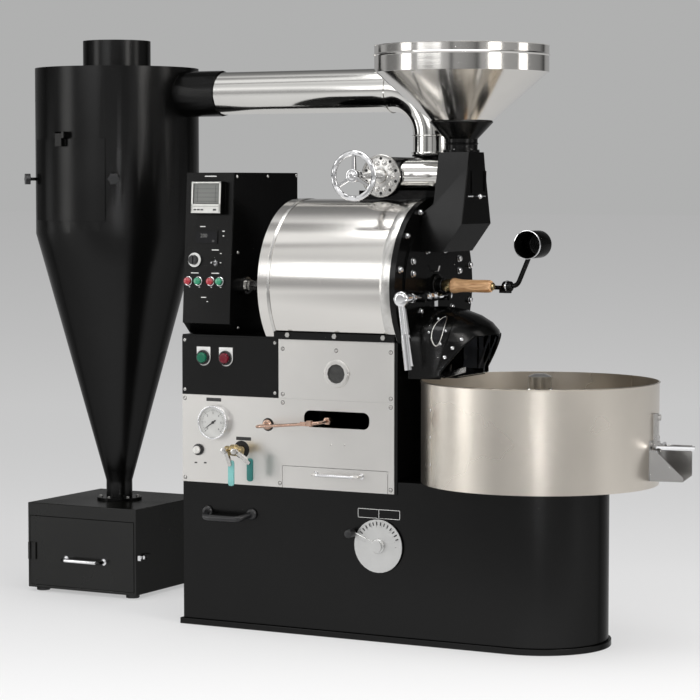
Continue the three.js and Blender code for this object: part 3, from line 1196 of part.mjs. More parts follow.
function makeChaffDoor() {
  const { left, right, front, doorTop, doorBottom, doorThick, doorInset, play, hinge } = chaff;
  const { hingeZ, hingeSpan, hingeReach } = chaff;
  const { handleX, handleSpan, handleReach, handleBar, handleZ } = chaff;
  const leaf = block([left + doorInset + play, right - doorInset - play], [front, front + doorThick],
    [doorBottom + play, doorTop - play]);
  const ends = [handleX - handleSpan / 2, handleX + handleSpan / 2];
  const bar = bentBar([
    [ends[0], front + seat, handleZ], [ends[0], front - handleReach, handleZ],
    [ends[1], front - handleReach, handleZ], [ends[1], front + seat, handleZ],
  ], handleBar, handleBar * 2);
  const edge = left + doorInset + play;
  const [low, high] = [hingeZ, hingeZ + hingeSpan];
  const knuckle = rod('z', hinge, low, high, [edge, front - hinge - seat], count.small);
  const strap = block([edge, edge + hingeReach], [front - hinge, front + doorThick / 2], [low, high]);
  place('chaff_door', join(leaf, bar, knuckle, strap), satinBlack);
}

function makeLatch() {
  const { z, y, width, length, thick, pivot, proud } = latch;
  const x = chaff.right + seat;
  const arm = block([x, x + thick], [y - length / 2, y + length / 2], [z - width / 3, z + width / 3]);
  const head = rod('x', pivot, x, x + proud, [y, z], count.small);
  const hook = block([x, x + proud], [y - length / 2, y - length / 2 + thick],
    [z - width / 2, z + width / 2]);
  place('chaff_latch', join(arm, head, hook), chromed);
}

// Cooling tray
const polar = (radius, angle) => [radius * Math.cos(angle), radius * Math.sin(angle)];

function makeTray() {
  const { radius, wall, bottom, rim, floorZ, ledge, hem, hemRise, drain } = tray;
  const tub = turned('z', closed([
    [drain, bottom], [radius, bottom], [radius, rim - hemRise], [radius + hem, rim - hemRise / 2],
    [radius, rim], [radius - wall, rim], [radius - wall, floorZ - seat],
    [radius - wall - ledge, floorZ - seat], [radius - wall - ledge, floorZ - seat - wall],
    [radius - wall, floorZ - ledge], [radius - wall, bottom + wall], [drain, bottom + wall]]),
  [0, 0], count.tray);
  const gap = outletBlock([0, radius + overrun], [-outlet.windowHalf, outlet.windowHalf],
    [outlet.sill, outlet.sill + outlet.doorRise - seat * 4]);
  place('cooling_tray', cut(tub, gap), brushed);
}

function outletBlock(xs, ys, zs) {
  const form = block(xs, ys, zs);
  return tidy(form.rotateZ(degrees(outlet.bearing)));
}

function makeTrayFloor() {
  const { radius, wall, floorZ, floorThick, slotRings, slotFirst, slotStep, slotLength, slotWidth } = tray;
  const disc = rod('z', radius - wall - seat, floorZ, floorZ + floorThick, [0, 0], count.tray);
  const bore = rod('z', tray.gearBore, floorZ - overrun, floorZ + overrun * 2, [0, 0], count.round);
  const slots = [];
  for (let ring = 0; ring < slotRings; ring += 1) {
    const number = tray.slotsInner * (ring + 1);
    for (let k = 0; k < number; k += 1) {
      const middle = slotFirst + slotStep * ring;
      const slit = block([middle - slotLength / 2, middle + slotLength / 2],
        [-slotWidth / 2, slotWidth / 2], [floorZ - overrun, floorZ + floorThick + overrun]);
      slots.push(tidy(slit.rotateZ((2 * Math.PI * k) / number)));
    }
  }
  place('tray_floor', cut(disc, bore, ...slots), brushed);
}

function makeStirrer() {
  const { shaft, capRadius, capTop, capBottom, arms, arm, armReach, paddleHeight, paddleThick } = stirrer;
  const { paddleLength, clear, armZ, rake } = stirrer;
  const low = trayMotor.gearboxTop + seat;
  const hub = turned('z', [[0, low], [shaft, low], [shaft, capBottom], [capRadius, capBottom],
    [capRadius, capTop - arm], [capRadius / 2, capTop], [0, capTop]], [0, 0], count.round);
  const paddleLow = tray.floorZ + tray.floorThick + clear;
  const pieces = Array.from({ length: arms }, (_, k) => {
    const angle = (2 * Math.PI * k) / arms + Math.PI / 8;
    const outer = armReach - (k % 2) * paddleLength;
    const middle = outer - paddleLength / 2;
    const spar = sweep([new THREE.Vector3(shaft / 2, 0, armZ),
      new THREE.Vector3(middle, 0, paddleLow + paddleHeight / 2)], arm, count.hex + 2);
    const blade = block([outer - paddleLength, outer], [-paddleThick / 2, paddleThick / 2],
      [paddleLow, paddleLow + paddleHeight]);
    const form = join(spar, spun(blade, [0, 0, 1], degrees(rake), [middle, 0, 0]));
    return tidy(form.rotateZ(angle));
  });
  place('stirrer', join(hub, ...pieces), polished);
}

// The tray motor hangs on a cross bar in the tray: its upper shaft stirs, its lower one blows
function makeTrayMotor() {
  const { gearbox, gearboxTop, gearboxBottom, motor, motorBottom, arm, armRise } = trayMotor;
  const body = turned('z', [[0, motorBottom], [motor, motorBottom], [motor, gearboxBottom],
    [gearbox, gearboxBottom], [gearbox, gearboxTop - arm], [stirrer.shaft * 2, gearboxTop],
    [0, gearboxTop]], [0, 0], count.pipe);
  const reach = tray.radius - tray.wall - seat;
  const low = tray.bottom + tray.wall + seat;
  const bars = [0, Math.PI / 2].map((angle) => tidy(
    block([-reach + overrun, reach - overrun], [-arm, arm], [low, low + armRise])
      .rotateZ(angle + Math.PI / 4)));
  place('tray_motor', join(body, ...bars), castIron);
}

function makeFan() {
  const { radius, blades, bladeThick, height, top, hub, disc, eye } = fan;
  const low = top - height;
  const back = rod('z', radius, low, low + disc, [0, 0], count.pipe);
  const stem = rod('z', hub, low, trayMotor.motorBottom - seat, [0, 0], count.round);
  const vanes = Array.from({ length: blades }, (_, k) => {
    const form = block([eye, radius], [-bladeThick / 2, bladeThick / 2], [low + disc / 2, top]);
    return tidy(form.rotateZ((2 * Math.PI * k) / blades));
  });
  place('cooling_fan', join(back, stem, ...vanes), castIron);
}

// Outlet of the tray: a scoop on the wall with a flap that a lever lifts
function outletPrism(points, from, to) {
  return tidy(prism('y', outline(points), from, to).rotateZ(degrees(outlet.bearing)));
}

const wallPatch = (inner, outer, ys, zs) => common(
  turned('z', closed([[inner, zs[0]], [outer, zs[0]], [outer, zs[1]], [inner, zs[1]]]), [0, 0],
    count.tray),
  outletBlock([0, outer + overrun], ys, zs));

function makeOutlet() {
  const { width, reach, bottom, top, wall, windowHalf, sill, doorRise } = outlet;
  const { y, hinge, strap, strapTop, thick, boss, bolt } = trayGate;
  const skin = tray.radius + seat;
  const half = width / 2;
  const backPlate = cut(
    wallPatch(skin, skin + wall, [-half, half], [bottom, top + hinge * 5]),
    outletBlock([0, skin + reach], [-windowHalf - seat * 4, windowHalf + seat * 4],
      [sill - wall * 2, sill + doorRise + overrun * 2]));
  const edge = skin - tray.wall * 4;
  const trim = turned('z', closed([[0, bottom - overrun], [skin, bottom - overrun],
    [skin, top + overrun], [0, top + overrun]]).slice(0, 4), [0, 0], count.tray);
  const near = outletPrism([[edge, bottom], [skin + reach, bottom], [skin + reach, bottom + wall * 6],
    [skin + wall * 3, top], [edge, top]], -half, -half + wall);
  const far = outletPrism([[edge, bottom], [skin + reach, bottom], [skin + reach, top], [edge, top]],
    half - wall, half);
  const floor = outletPrism([[edge, bottom], [skin + reach, bottom], [skin + reach, bottom + wall],
    [edge, bottom + wall]], -half, half);
  const hingeX = skin + hinge * 2;
  const bar = outletBlock([skin - hinge, hingeX + thick / 2], [y - strap / 2, y + strap / 2],
    [top - thick, strapTop]);
  const relief = outletBlock([hingeX - thick / 2, hingeX + thick], [y - strap, y + strap],
    [outlet.top + hinge * 4, strapTop + overrun]);
  const eye = outletRod(boss, y - strap / 2, y + strap / 2);
  const head = rodOut(bolt, skin - hinge, hingeX + hinge, y, strapTop - boss);
  const tall = turned('z', [[0, bottom - overrun], [skin, bottom - overrun],
    [skin, strapTop + overrun], [0, strapTop + overrun]], [0, 0], count.tray);
  const scoop = cut(join(near, far, floor), trim);
  const strapForm = cut(join(cut(bar, relief), eye, head), tall);
  place('tray_outlet', cut(join(scoop, backPlate, strapForm),
    outletRod(around(hinge, count.small), -half, half)), brushed);
}

// A bar along the flap's hinge line, and a bar pointing straight out of the tray
function outletRod(radius, from, to) {
  const line = [tray.radius + seat + trayGate.hinge * 2, outlet.top + trayGate.hinge];
  return tidy(rod('y', radius, from, to, line).rotateZ(degrees(outlet.bearing)));
}

function rodOut(radius, from, to, y, z) {
  return tidy(rod('x', radius, from, to, [y, z]).rotateZ(degrees(outlet.bearing)));
}

function makeTrayGate() {
  const { y, hinge, strap, thick, lever, leverRadius, boss, flapInset } = trayGate;
  const { windowHalf, sill, doorRise, top, wall } = outlet;
  const inner = tray.radius + seat;
  const flap = wallPatch(inner, inner + wall, [-windowHalf, windowHalf],
    [sill - flapInset, sill + doorRise]);
  const barrel = outletRod(hinge, y - strap, windowHalf);
  const web = outletBlock([inner, inner + hinge * 2], [y + strap, windowHalf],
    [sill + doorRise - thick, top + hinge]);
  const clear = turned('z', [[0, sill - overrun], [inner, sill - overrun], [inner, top + boss],
    [0, top + boss]], [0, 0], count.tray);
  const start = inner + hinge * 2;
  const handle = rodOut(leverRadius, start, start + lever, y - strap + seat * 2 - leverRadius / 2,
    top + hinge);
  place('tray_gate', join(flap, cut(web, clear), barrel, handle), chromed);
}

// Drive housing and control face
const lean = Math.atan((housing.frontHigh - housing.frontLow) / (housing.top - housing.faceBottom));

function onFace(geometry) {
  const [c, s] = [Math.cos(lean), Math.sin(lean)];
  const turn = new THREE.Matrix4();
  turn.set(1, 0, 0, housing.left, 0, s, -c, housing.frontLow, 0, c, s, housing.faceBottom, 0, 0, 0, 1);
  return tidy(geometry.applyMatrix4(turn));
}

const faceBox = (xs, ys, zs) => onFace(block(xs, ys, zs));
const faceRod = (radius, from, to, centre, sides = count.round) =>
  onFace(rod('z', radius, from, to, centre, sides));

function makeHousing() {
  const { left, right, bottom, faceBottom, top, rear, frontLow, frontHigh, tuck, wall } = housing;
  const { ventSlots, vent, ventSpan, ventPitch } = housing;
  const back = (control.thick + seat) / Math.cos(lean);
  const outer = prism('x', outline([[frontLow + back, faceBottom], [tuck, bottom], [rear, bottom],
    [rear, top], [frontHigh + back, top]]), left, right);
  const inner = prism('x', outline([[frontLow + back - overrun, faceBottom + wall * 3],
    [tuck + wall, faceBottom + wall * 3], [tuck + wall, bottom + wall], [rear - wall, bottom + wall],
    [rear - wall, top - wall], [frontHigh - overrun, top - wall]]), left + wall, right - wall);
  const vents = Array.from({ length: ventSlots }, (_, k) => {
    const z = top - ventSpan + (k - ventSlots) * ventPitch;
    return block([(left + right - ventSpan) / 2, (left + right + ventSpan) / 2],
      [rear - wall - overrun, rear + overrun], [z, z + vent]);
  });
  const shaftHole = rod('x', drum.shaft + seat * 4, right - wall - overrun, right + overrun, [0, drum.z],
    count.round);
  place('drive_housing', cut(outer, inner, shaftHole, ...vents), satinBlack);
}

function makeControlFace() {
  const { thick, recorder, recorderDepth, recorderRim, recorderDish, screenLow, display } = control;
  const { displayDepth, knobX, knobY, knobRing, ringDepth, toggleX, toggleY, toggle, toggleDepth } = control;
  const { buttonY, buttonRim, rimDepth, pin, bat } = control;
  const height = (housing.top - housing.faceBottom) / Math.cos(lean);
  const sheet = faceBox([0, housing.right - housing.left], [0, height], [-thick, 0]);
  const [x0, x1, y0, y1] = recorder;
  const box = faceBox([x0, x1], [y0, y1], [-thick / 2, recorderDepth]);
  const screen = faceBox([x0 + recorderRim, x1 - recorderRim], [y0 + screenLow, y1 - recorderRim],
    [recorderDepth - recorderDish, recorderDepth + overrun]);
  const [d0, d1, e0, e1] = display;
  const bezel = faceBox([d0, d1], [e0, e1], [-thick / 2, displayDepth]);
  const pane = faceBox([d0 + displayDepth, d1 - displayDepth], [e0 + displayDepth, e1 - displayDepth],
    [displayDepth / 2, displayDepth + overrun]);
  const dial = faceRod(knobRing, -thick / 2, ringDepth, [knobX, knobY], count.pipe);
  const nut = faceRod(toggle, -thick / 2, toggleDepth, [toggleX, toggleY], count.hex);
  const rims = buttonXs.map((x) => faceRod(buttonRim, -thick / 2, rimDepth, [x, buttonY]));
  const wells = buttonXs.map((x) => faceRod(control.button + seat, 0, rimDepth + overrun, [x, buttonY]));
  const holes = [...buttonXs.map((x) => [x, buttonY]), [knobX, knobY]].map((centre) =>
    faceRod(around(pin, count.small), -thick - overrun, overrun, centre, count.small));
  const slotHole = faceBox([toggleX - bat - seat, toggleX + bat + seat],
    [toggleY - bat * 2, toggleY + bat * 2], [-thick - overrun, toggleDepth + overrun]);
  place('control_face', cut(join(sheet, box, bezel, dial, nut, ...rims), screen, pane, slotHole,
    ...wells, ...holes), blackPlastic);
}

function makeControls() {
  const { thick, knobX, knobY, knob, knobDepth, ringDepth, toggleX, toggleY, bat, batLength } = control;
  const { buttonY, button, buttonDepth, travel, pin, pinBack, toggleDepth } = control;
  const grip = faceRod(knob, ringDepth + seat, ringDepth + knobDepth, [knobX, knobY]);
  const ridge = faceBox([knobX - bat, knobX + bat], [knobY - knob, knobY + knob],
    [ringDepth + knobDepth / 2, ringDepth + knobDepth + bat]);
  const spindle = faceRod(pin, -thick - pinBack, ringDepth + knobDepth / 2, [knobX, knobY], count.small);
  place('selector_knob', join(grip, ridge, spindle), blackPlastic);

  const stick = faceRod(bat, -thick, toggleDepth + batLength, [toggleX, toggleY], count.small);
  place('toggle_switch', stick, chromed);

  const caps = [redPlastic, greenPlastic, redPlastic, greenPlastic];
  buttonXs.forEach((x, k) => {
    const cap = faceRod(button, travel + seat, travel + buttonDepth, [x, buttonY]);
    const stem = faceRod(pin, -thick - pinBack, travel + buttonDepth / 2, [x, buttonY], count.small);
    place(`console_button_${k + 1}`, join(cap, stem), caps[k]);
  });
}

// The gear motor stands in the housing and holds the end of the drum shaft
function makeDriveMotor() {
  const { gearbox, left, right, motor, motorTop } = driveMotor;
  const middle = (left + right) / 2;
  const box = rod('x', gearbox, left, right, [0, drum.z], count.pipe);
  const upright = rod('z', motor, drum.z, motorTop, [middle, 0], count.pipe);
  const foot = block([middle - motor, middle + motor], [-gearbox, gearbox],
    [housing.bottom + housing.wall + seat, drum.z - gearbox / 2]);
  const hole = rod('x', around(drum.shaft, count.round), drum.shaftLeft - overrun, right + overrun,
    [0, drum.z], count.round);
  place('drive_motor', cut(join(box, upright, foot), hole), castIron);
}

[
  makeBase, makeAirflow, makeCabinet, makePanels, makePushButtons, makeDrawer, makeGauge, makeGasKnob,
  makeValve, makeValveLevers, makeGasPipe, makeBurner, makeJacket, makeRearPlate, makeDrum, makeCoupling,
  makeFace, makeTrier, makeLamp, makeHood, makeDoor, makeHopper, makeCone, makeChute, makeGate,
  makeDamper, makeIndexPlate, makeHandwheel, makePipes, makeCyclone, makeHatch, makeChaffBox,
  makeChaffDoor, makeLatch, makeTray, makeTrayFloor, makeStirrer, makeTrayMotor, makeFan, makeOutlet,
  makeTrayGate, makeHousing, makeControlFace, makeControls, makeDriveMotor,
].forEach((make) => make());

export default roaster;
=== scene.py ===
"""Shop coffee roaster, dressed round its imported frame. Metres, +Z up, its front faces -Y."""
import json
import math

import bmesh
import bpy
import numpy as np
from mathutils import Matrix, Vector


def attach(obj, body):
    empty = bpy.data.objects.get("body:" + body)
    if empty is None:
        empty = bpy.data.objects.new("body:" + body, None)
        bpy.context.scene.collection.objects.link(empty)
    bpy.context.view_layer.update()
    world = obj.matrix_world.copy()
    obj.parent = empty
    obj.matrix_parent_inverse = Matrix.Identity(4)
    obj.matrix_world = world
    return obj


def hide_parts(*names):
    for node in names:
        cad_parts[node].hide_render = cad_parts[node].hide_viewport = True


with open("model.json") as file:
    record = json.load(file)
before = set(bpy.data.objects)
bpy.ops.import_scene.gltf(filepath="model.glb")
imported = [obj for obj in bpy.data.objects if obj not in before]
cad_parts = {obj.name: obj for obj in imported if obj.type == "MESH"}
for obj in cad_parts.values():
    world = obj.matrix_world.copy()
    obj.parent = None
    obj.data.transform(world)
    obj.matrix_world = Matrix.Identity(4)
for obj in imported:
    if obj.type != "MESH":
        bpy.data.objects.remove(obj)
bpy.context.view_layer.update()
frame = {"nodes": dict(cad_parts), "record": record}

# Camera
# The view is from the right of the machine, through a long lens at chest height and slightly down.
# The frame is square.
camera_place = np.array([2.9164, -6.5589, 1.3002])
camera_target = np.array([-0.60658, 0.0, 0.81229])
camera_lens = 131.23
camera_data = bpy.data.cameras.new("camera")
camera_data.lens = camera_lens
camera_data.sensor_width = 36.0
camera_data.clip_end = 400.0
camera = bpy.data.objects.new("camera", camera_data)
bpy.context.scene.collection.objects.link(camera)
camera.location = camera_place
camera.rotation_mode = "QUATERNION"
camera.rotation_quaternion = Vector(camera_target - camera_place).to_track_quat("-Z", "Y")
bpy.context.scene.camera = camera
bpy.context.scene.view_settings.view_transform = "Standard"


# Studio
# A pale floor runs back into a grey sweep that is light near the lens and darker far off. Soft
# boxes stand in front, left, right and above, and reflections show a room of tall light and dark
# walls.
sweep_far = 0.434
sweep_near = 0.48
sweep_reach = 6.48
sweep_power = 1.5
glow_share, fade_start, fade_end = 0.55, 8.0, 15.0
mirror_share, dim_from, dim_to, dim_left = 0.92, 5.5, 6.6, 0.3
room_light = (0.66, 0.66, 0.67, 1.0)
room_turn = (-0.25, 0.30)
room_front = [(0.0, 0.6), (0.5, 0.42), (0.56, 0.55), (0.66, 1.2), (0.76, 0.75), (0.88, 1.05), (1.0, 1.0)]
room_back = [(0.0, 0.5), (0.5, 0.42), (0.60, 0.45), (0.72, 0.16), (0.90, 0.30), (1.0, 0.95)]
room_panels = [(-180, 0.9), (-150, 0.75), (-120, 1.0), (-97, 1.1), (-88, 0.45), (-70, 0.5), (-62, 1.0),
               (-47, 1.05), (-44, 0.12), (-41, 1.0), (-26, 1.0), (-23, 0.40), (-14, 0.32), (-10, 1.1),
               (0, 1.3), (9, 1.0), (12, 0.10), (16, 0.9), (30, 0.75), (42, 0.5), (46, 0.10), (51, 0.95),
               (100, 0.95), (115, 0.12), (121, 0.85), (150, 0.6), (163, 0.1), (169, 0.9), (180, 0.9)]
floor_half = 90.0
floor_z = -0.0005


def link_value(tree, source, target):
    """Joins an output socket to an input socket in one node tree."""
    tree.links.new(source, target)


def node(tree, kind, **settings):
    """Adds a node of that kind and sets its plain properties by name."""
    made = tree.nodes.new(kind)
    for key, value in settings.items():
        setattr(made, key, value)
    return made


def blank_material(name):
    """A material with no nodes yet, and its tree."""
    material = bpy.data.materials.new(name)
    material.use_nodes = True
    material.node_tree.nodes.clear()
    return material, material.node_tree


def worked(tree, operation, *values):
    """A math node's result, where each value is a number or another node's output."""
    made = node(tree, "ShaderNodeMath", operation=operation)
    for target, value in zip(made.inputs, values):
        if isinstance(value, bpy.types.NodeSocket):
            link_value(tree, value, target)
        else:
            target.default_value = value
    return made.outputs[0]


def ranged(tree, source, span, result=(0.0, 1.0)):
    """A value stretched from one span to another, and held within it."""
    made = node(tree, "ShaderNodeMapRange")
    made.inputs["From Min"].default_value, made.inputs["From Max"].default_value = span
    made.inputs["To Min"].default_value, made.inputs["To Max"].default_value = result
    link_value(tree, source, made.inputs["Value"])
    return made.outputs[0]


def shared_by(tree, share, first, second):
    """Two shaders mixed by a share: only the first at 0, and only the second at 1."""
    made = node(tree, "ShaderNodeMixShader")
    for target, source in zip(made.inputs, (share, first, second)):
        link_value(tree, source, target)
    return made.outputs[0]


floor_material, tree = blank_material("studio_floor")
place = node(tree, "ShaderNodeTexCoord")
path = node(tree, "ShaderNodeLightPath")
gap = node(tree, "ShaderNodeVectorMath", operation="DISTANCE")
gap.inputs[1].default_value = (camera_place[0], camera_place[1], 0.0)
link_value(tree, place.outputs["Object"], gap.inputs[0])
away = gap.outputs["Value"]
nearness = worked(tree, "POWER", worked(tree, "DIVIDE", sweep_reach, away), sweep_power)
shade = worked(tree, "MULTIPLY_ADD", nearness, sweep_near, sweep_far)
far_off = ranged(tree, away, (fade_start, fade_end), (glow_share, 1.0))
seen = worked(tree, "MULTIPLY", path.outputs["Is Camera Ray"], far_off)
glow_part = worked(tree, "MULTIPLY_ADD", path.outputs["Is Glossy Ray"], mirror_share, seen)
# Seen in reflections, the floor near the lens falls to dim_left of its light: a painted shadow of the
# photographer.
painted_lens_shadow = ranged(tree, away, (dim_from, dim_to), (dim_left - 1.0, 0.0))
in_mirror = worked(tree, "MULTIPLY_ADD", path.outputs["Is Glossy Ray"], painted_lens_shadow, 1.0)
glow = node(tree, "ShaderNodeEmission")
link_value(tree, shade, glow.inputs["Color"])
link_value(tree, in_mirror, glow.inputs["Strength"])
matt = node(tree, "ShaderNodeBsdfDiffuse")
link_value(tree, shade, matt.inputs["Color"])
floor_look = shared_by(tree, glow_part, matt.outputs[0], glow.outputs[0])
link_value(tree, floor_look, node(tree, "ShaderNodeOutputMaterial").inputs["Surface"])

floor_mesh = bpy.data.meshes.new("studio_floor")
floor_corners = [(x * floor_half, y * floor_half, floor_z) for x, y in ((-1, -1), (1, -1), (1, 1), (-1, 1))]
floor_mesh.from_pydata(floor_corners, [], [(0, 1, 2, 3)])
floor_mesh.materials.append(floor_material)
studio_floor = bpy.data.objects.new("studio_floor", floor_mesh)
bpy.context.scene.collection.objects.link(studio_floor)

world = bpy.data.worlds.new("studio")
world.use_nodes = True
tree = world.node_tree
tree.nodes.clear()
path = node(tree, "ShaderNodeLightPath")
seen_sky = node(tree, "ShaderNodeBackground")
seen_sky.inputs["Color"].default_value = (sweep_far, sweep_far * 1.005, sweep_far, 1.0)
place = node(tree, "ShaderNodeTexCoord")
apart = node(tree, "ShaderNodeSeparateXYZ")
link_value(tree, place.outputs["Generated"], apart.inputs[0])
height = worked(tree, "MULTIPLY_ADD", apart.outputs["Z"], 0.5, 0.5)


def light_by(tree, source, stops):
    """A grey ramp over a value: each stop is a place and a light."""
    ramp = node(tree, "ShaderNodeValToRGB")
    for at, _ in stops[1:-1]:
        ramp.color_ramp.elements.new(at)
    for stop, (at, light) in zip(ramp.color_ramp.elements, stops):
        stop.position = at
        stop.color = (light, light, light, 1.0)
    link_value(tree, source, ramp.inputs[0])
    return ramp.outputs[0]


room = node(tree, "ShaderNodeMix", data_type="RGBA")
link_value(tree, ranged(tree, apart.outputs["Y"], room_turn), room.inputs[0])
link_value(tree, light_by(tree, height, room_front), room.inputs[6])
link_value(tree, light_by(tree, height, room_back), room.inputs[7])
ahead = worked(tree, "MULTIPLY", apart.outputs["Y"], -1.0)
bearing = worked(tree, "ARCTAN2", apart.outputs["X"], ahead)
turned = worked(tree, "MULTIPLY_ADD", bearing, 0.5 / math.pi, 0.5)
streaks = light_by(tree, turned, [(0.5 + degrees / 360.0, light) for degrees, light in room_panels])
streaked = node(tree, "ShaderNodeMix", data_type="RGBA", blend_type="MULTIPLY")
streaked.inputs[0].default_value = 1.0
link_value(tree, room.outputs[2], streaked.inputs[6])
link_value(tree, streaks, streaked.inputs[7])
room_sky = node(tree, "ShaderNodeBackground")
link_value(tree, streaked.outputs[2], room_sky.inputs["Color"])
lit_sky = node(tree, "ShaderNodeBackground")
lit_sky.inputs["Color"].default_value = room_light
unseen = shared_by(tree, path.outputs["Is Glossy Ray"], lit_sky.outputs[0], room_sky.outputs[0])
sky = shared_by(tree, path.outputs["Is Camera Ray"], unseen, seen_sky.outputs[0])
link_value(tree, sky, node(tree, "ShaderNodeOutputWorld").inputs["Surface"])
bpy.context.scene.world = world


def soft_box(name, place, aim, size, power, tint=(1.0, 1.0, 1.0)):
    """A rectangular area lamp at a place, turned to face the aim."""
    data = bpy.data.lights.new(name, "AREA")
    data.shape = "RECTANGLE"
    data.size, data.size_y = size
    data.energy = power
    data.color = tint
    lamp = bpy.data.objects.new(name, data)
    bpy.context.scene.collection.objects.link(lamp)
    lamp.location = place
    lamp.rotation_mode = "QUATERNION"
    lamp.rotation_quaternion = Vector(np.subtract(aim, place)).to_track_quat("-Z", "Y")


soft_box("box_left", (-5.6, -4.4, 1.9), (-0.9, 0.0, 1.0), (1.8, 3.4), 60.0, (1.0, 0.99, 0.97))
soft_box("box_front", (-2.0, -5.4, 2.8), (-1.0, 0.0, 1.0), (3.4, 1.8), 34.0)
soft_box("box_right", (3.5, -1.5, 2.9), (-1.0, 0.0, 1.1), (1.2, 3.0), 50.0, (1.0, 0.97, 0.94))
soft_box("box_side", (3.7, 1.6, 2.9), (-1.0, 0.0, 1.1), (1.2, 3.0), 30.0, (1.0, 0.97, 0.94))
soft_box("box_low", (-6.2, -1.0, 0.9), (-0.3, -0.3, 0.6), (1.4, 1.2), 9.0)
soft_box("box_top", (-0.6, -0.6, 4.6), (-0.6, 0.0, 0.8), (3.4, 2.0), 60.0)


# Base
# A long folded-steel cabinet with a half-round end under the cooling tray, on a low plinth.
# Both are powder coated satin black, with a fine orange peel.
black_coat = (0.0021, 0.0021, 0.0020)
edge_round = 0.0016


def new_group(name, inputs, outputs):
    """A shader node group with named float or vector inputs and outputs."""
    tree = bpy.data.node_groups.new(name, "ShaderNodeTree")
    for label, kind, value in inputs:
        socket = tree.interface.new_socket(name=label, in_out="INPUT", socket_type=kind)
        socket.default_value = value
    for label, kind in outputs:
        tree.interface.new_socket(name=label, in_out="OUTPUT", socket_type=kind)
    return tree, node(tree, "NodeGroupInput"), node(tree, "NodeGroupOutput")


# Uneven tone: cloudy noise at a scale, stretched between a low and a high value.
uneven, given, result = new_group(
    "uneven_tone",
    [("Scale", "NodeSocketFloat", 6.0), ("Low", "NodeSocketFloat", 0.4), ("High", "NodeSocketFloat", 0.5)],
    [("Value", "NodeSocketFloat")])
place = node(uneven, "ShaderNodeTexCoord")
cloud = node(uneven, "ShaderNodeTexNoise")
cloud.inputs["Detail"].default_value = 4.0
link_value(uneven, place.outputs["Object"], cloud.inputs["Vector"])
link_value(uneven, given.outputs["Scale"], cloud.inputs["Scale"])
spread = node(uneven, "ShaderNodeMapRange")
spread.inputs["From Min"].default_value = 0.3
spread.inputs["From Max"].default_value = 0.7
link_value(uneven, cloud.outputs["Fac"], spread.inputs["Value"])
link_value(uneven, given.outputs["Low"], spread.inputs["To Min"])
link_value(uneven, given.outputs["High"], spread.inputs["To Max"])
link_value(uneven, spread.outputs[0], result.inputs["Value"])

# Fine relief: noise stretched by a vector, as a height for bump.
relief, given, result = new_group(
    "fine_relief",
    [("Stretch", "NodeSocketVector", (900.0, 900.0, 900.0))],
    [("Height", "NodeSocketFloat")])
place = node(relief, "ShaderNodeTexCoord")
drawn = node(relief, "ShaderNodeVectorMath", operation="MULTIPLY")
link_value(relief, place.outputs["Object"], drawn.inputs[0])
link_value(relief, given.outputs["Stretch"], drawn.inputs[1])
rough_noise = node(relief, "ShaderNodeTexNoise")
rough_noise.inputs["Scale"].default_value = 1.0
rough_noise.inputs["Detail"].default_value = 2.0
link_value(relief, drawn.outputs[0], rough_noise.inputs["Vector"])
link_value(relief, rough_noise.outputs["Fac"], result.inputs["Height"])


def use_group(tree, group, **values):
    """Places a node group in a tree and sets its inputs by name."""
    made = node(tree, "ShaderNodeGroup", node_tree=group)
    for key, value in values.items():
        made.inputs[key].default_value = value
    return made


def finish(name, colour, rough, tone, metal=0.0, tone_span=0.06, stretch=(900.0,) * 3, depth=0.0001,
           tint=0.06, plain=(), rim_gloss=None):
    """A material whose roughness drifts by tone_span, whose colour drifts by tint, and whose
    surface carries a fine relief of that depth. Plain shader values come in as pairs. With a
    rim_gloss pair, the specular level falls from the first to the second toward grazing view."""
    material, tree = blank_material(name)
    body = node(tree, "ShaderNodeBsdfPrincipled")
    body.inputs["Metallic"].default_value = metal
    for key, value in plain:
        body.inputs[key].default_value = value
    if rim_gloss:
        facing = node(tree, "ShaderNodeLayerWeight")
        level = ranged(tree, facing.outputs["Facing"], (0.0, 0.5), rim_gloss)
        link_value(tree, level, body.inputs["Specular IOR Level"])
    drift = use_group(tree, uneven, Scale=tone, Low=rough - tone_span, High=rough + tone_span)
    link_value(tree, drift.outputs["Value"], body.inputs["Roughness"])
    cloudy = use_group(tree, uneven, Scale=tone * 2.3, Low=0.0, High=1.0)
    mix = node(tree, "ShaderNodeMix", data_type="RGBA")
    mix.inputs[6].default_value = (*[c * (1.0 - tint) for c in colour], 1.0)
    mix.inputs[7].default_value = (*[min(c * (1.0 + tint), 1.0) for c in colour], 1.0)
    link_value(tree, cloudy.outputs["Value"], mix.inputs[0])
    link_value(tree, mix.outputs[2], body.inputs["Base Color"])
    skin = use_group(tree, relief, Stretch=stretch)
    bump = node(tree, "ShaderNodeBump")
    bump.inputs["Strength"].default_value = 1.0
    bump.inputs["Distance"].default_value = depth
    link_value(tree, skin.outputs["Height"], bump.inputs["Height"])
    link_value(tree, bump.outputs["Normal"], body.inputs["Normal"])
    link_value(tree, body.outputs[0], node(tree, "ShaderNodeOutputMaterial").inputs["Surface"])
    return material


powder_black = finish("powder_black", black_coat, 0.24, tone=4.0, tone_span=0.04, stretch=(520.0,) * 3,
                      depth=0.00008, tint=0.15, rim_gloss=(0.32, 0.018))


def smooth_mesh(mesh, angle=35.0):
    """Shades a mesh smooth, with every edge sharper than the angle left crisp."""
    if "custom_normal" in mesh.attributes:
        mesh.attributes.remove(mesh.attributes["custom_normal"])
    mesh.shade_smooth()
    mesh.set_sharp_from_angle(angle=math.radians(angle))


def install(name, mesh, material, body, nodes=()):
    """Links a mesh as a piece: its material, the body that it rides on and the solids that it
    stands for."""
    mesh.name = name
    mesh.materials.clear()
    mesh.materials.append(material)
    piece = bpy.data.objects.new(name, mesh)
    bpy.context.scene.collection.objects.link(piece)
    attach(piece, body)
    for solid in nodes:
        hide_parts(solid)
    return piece


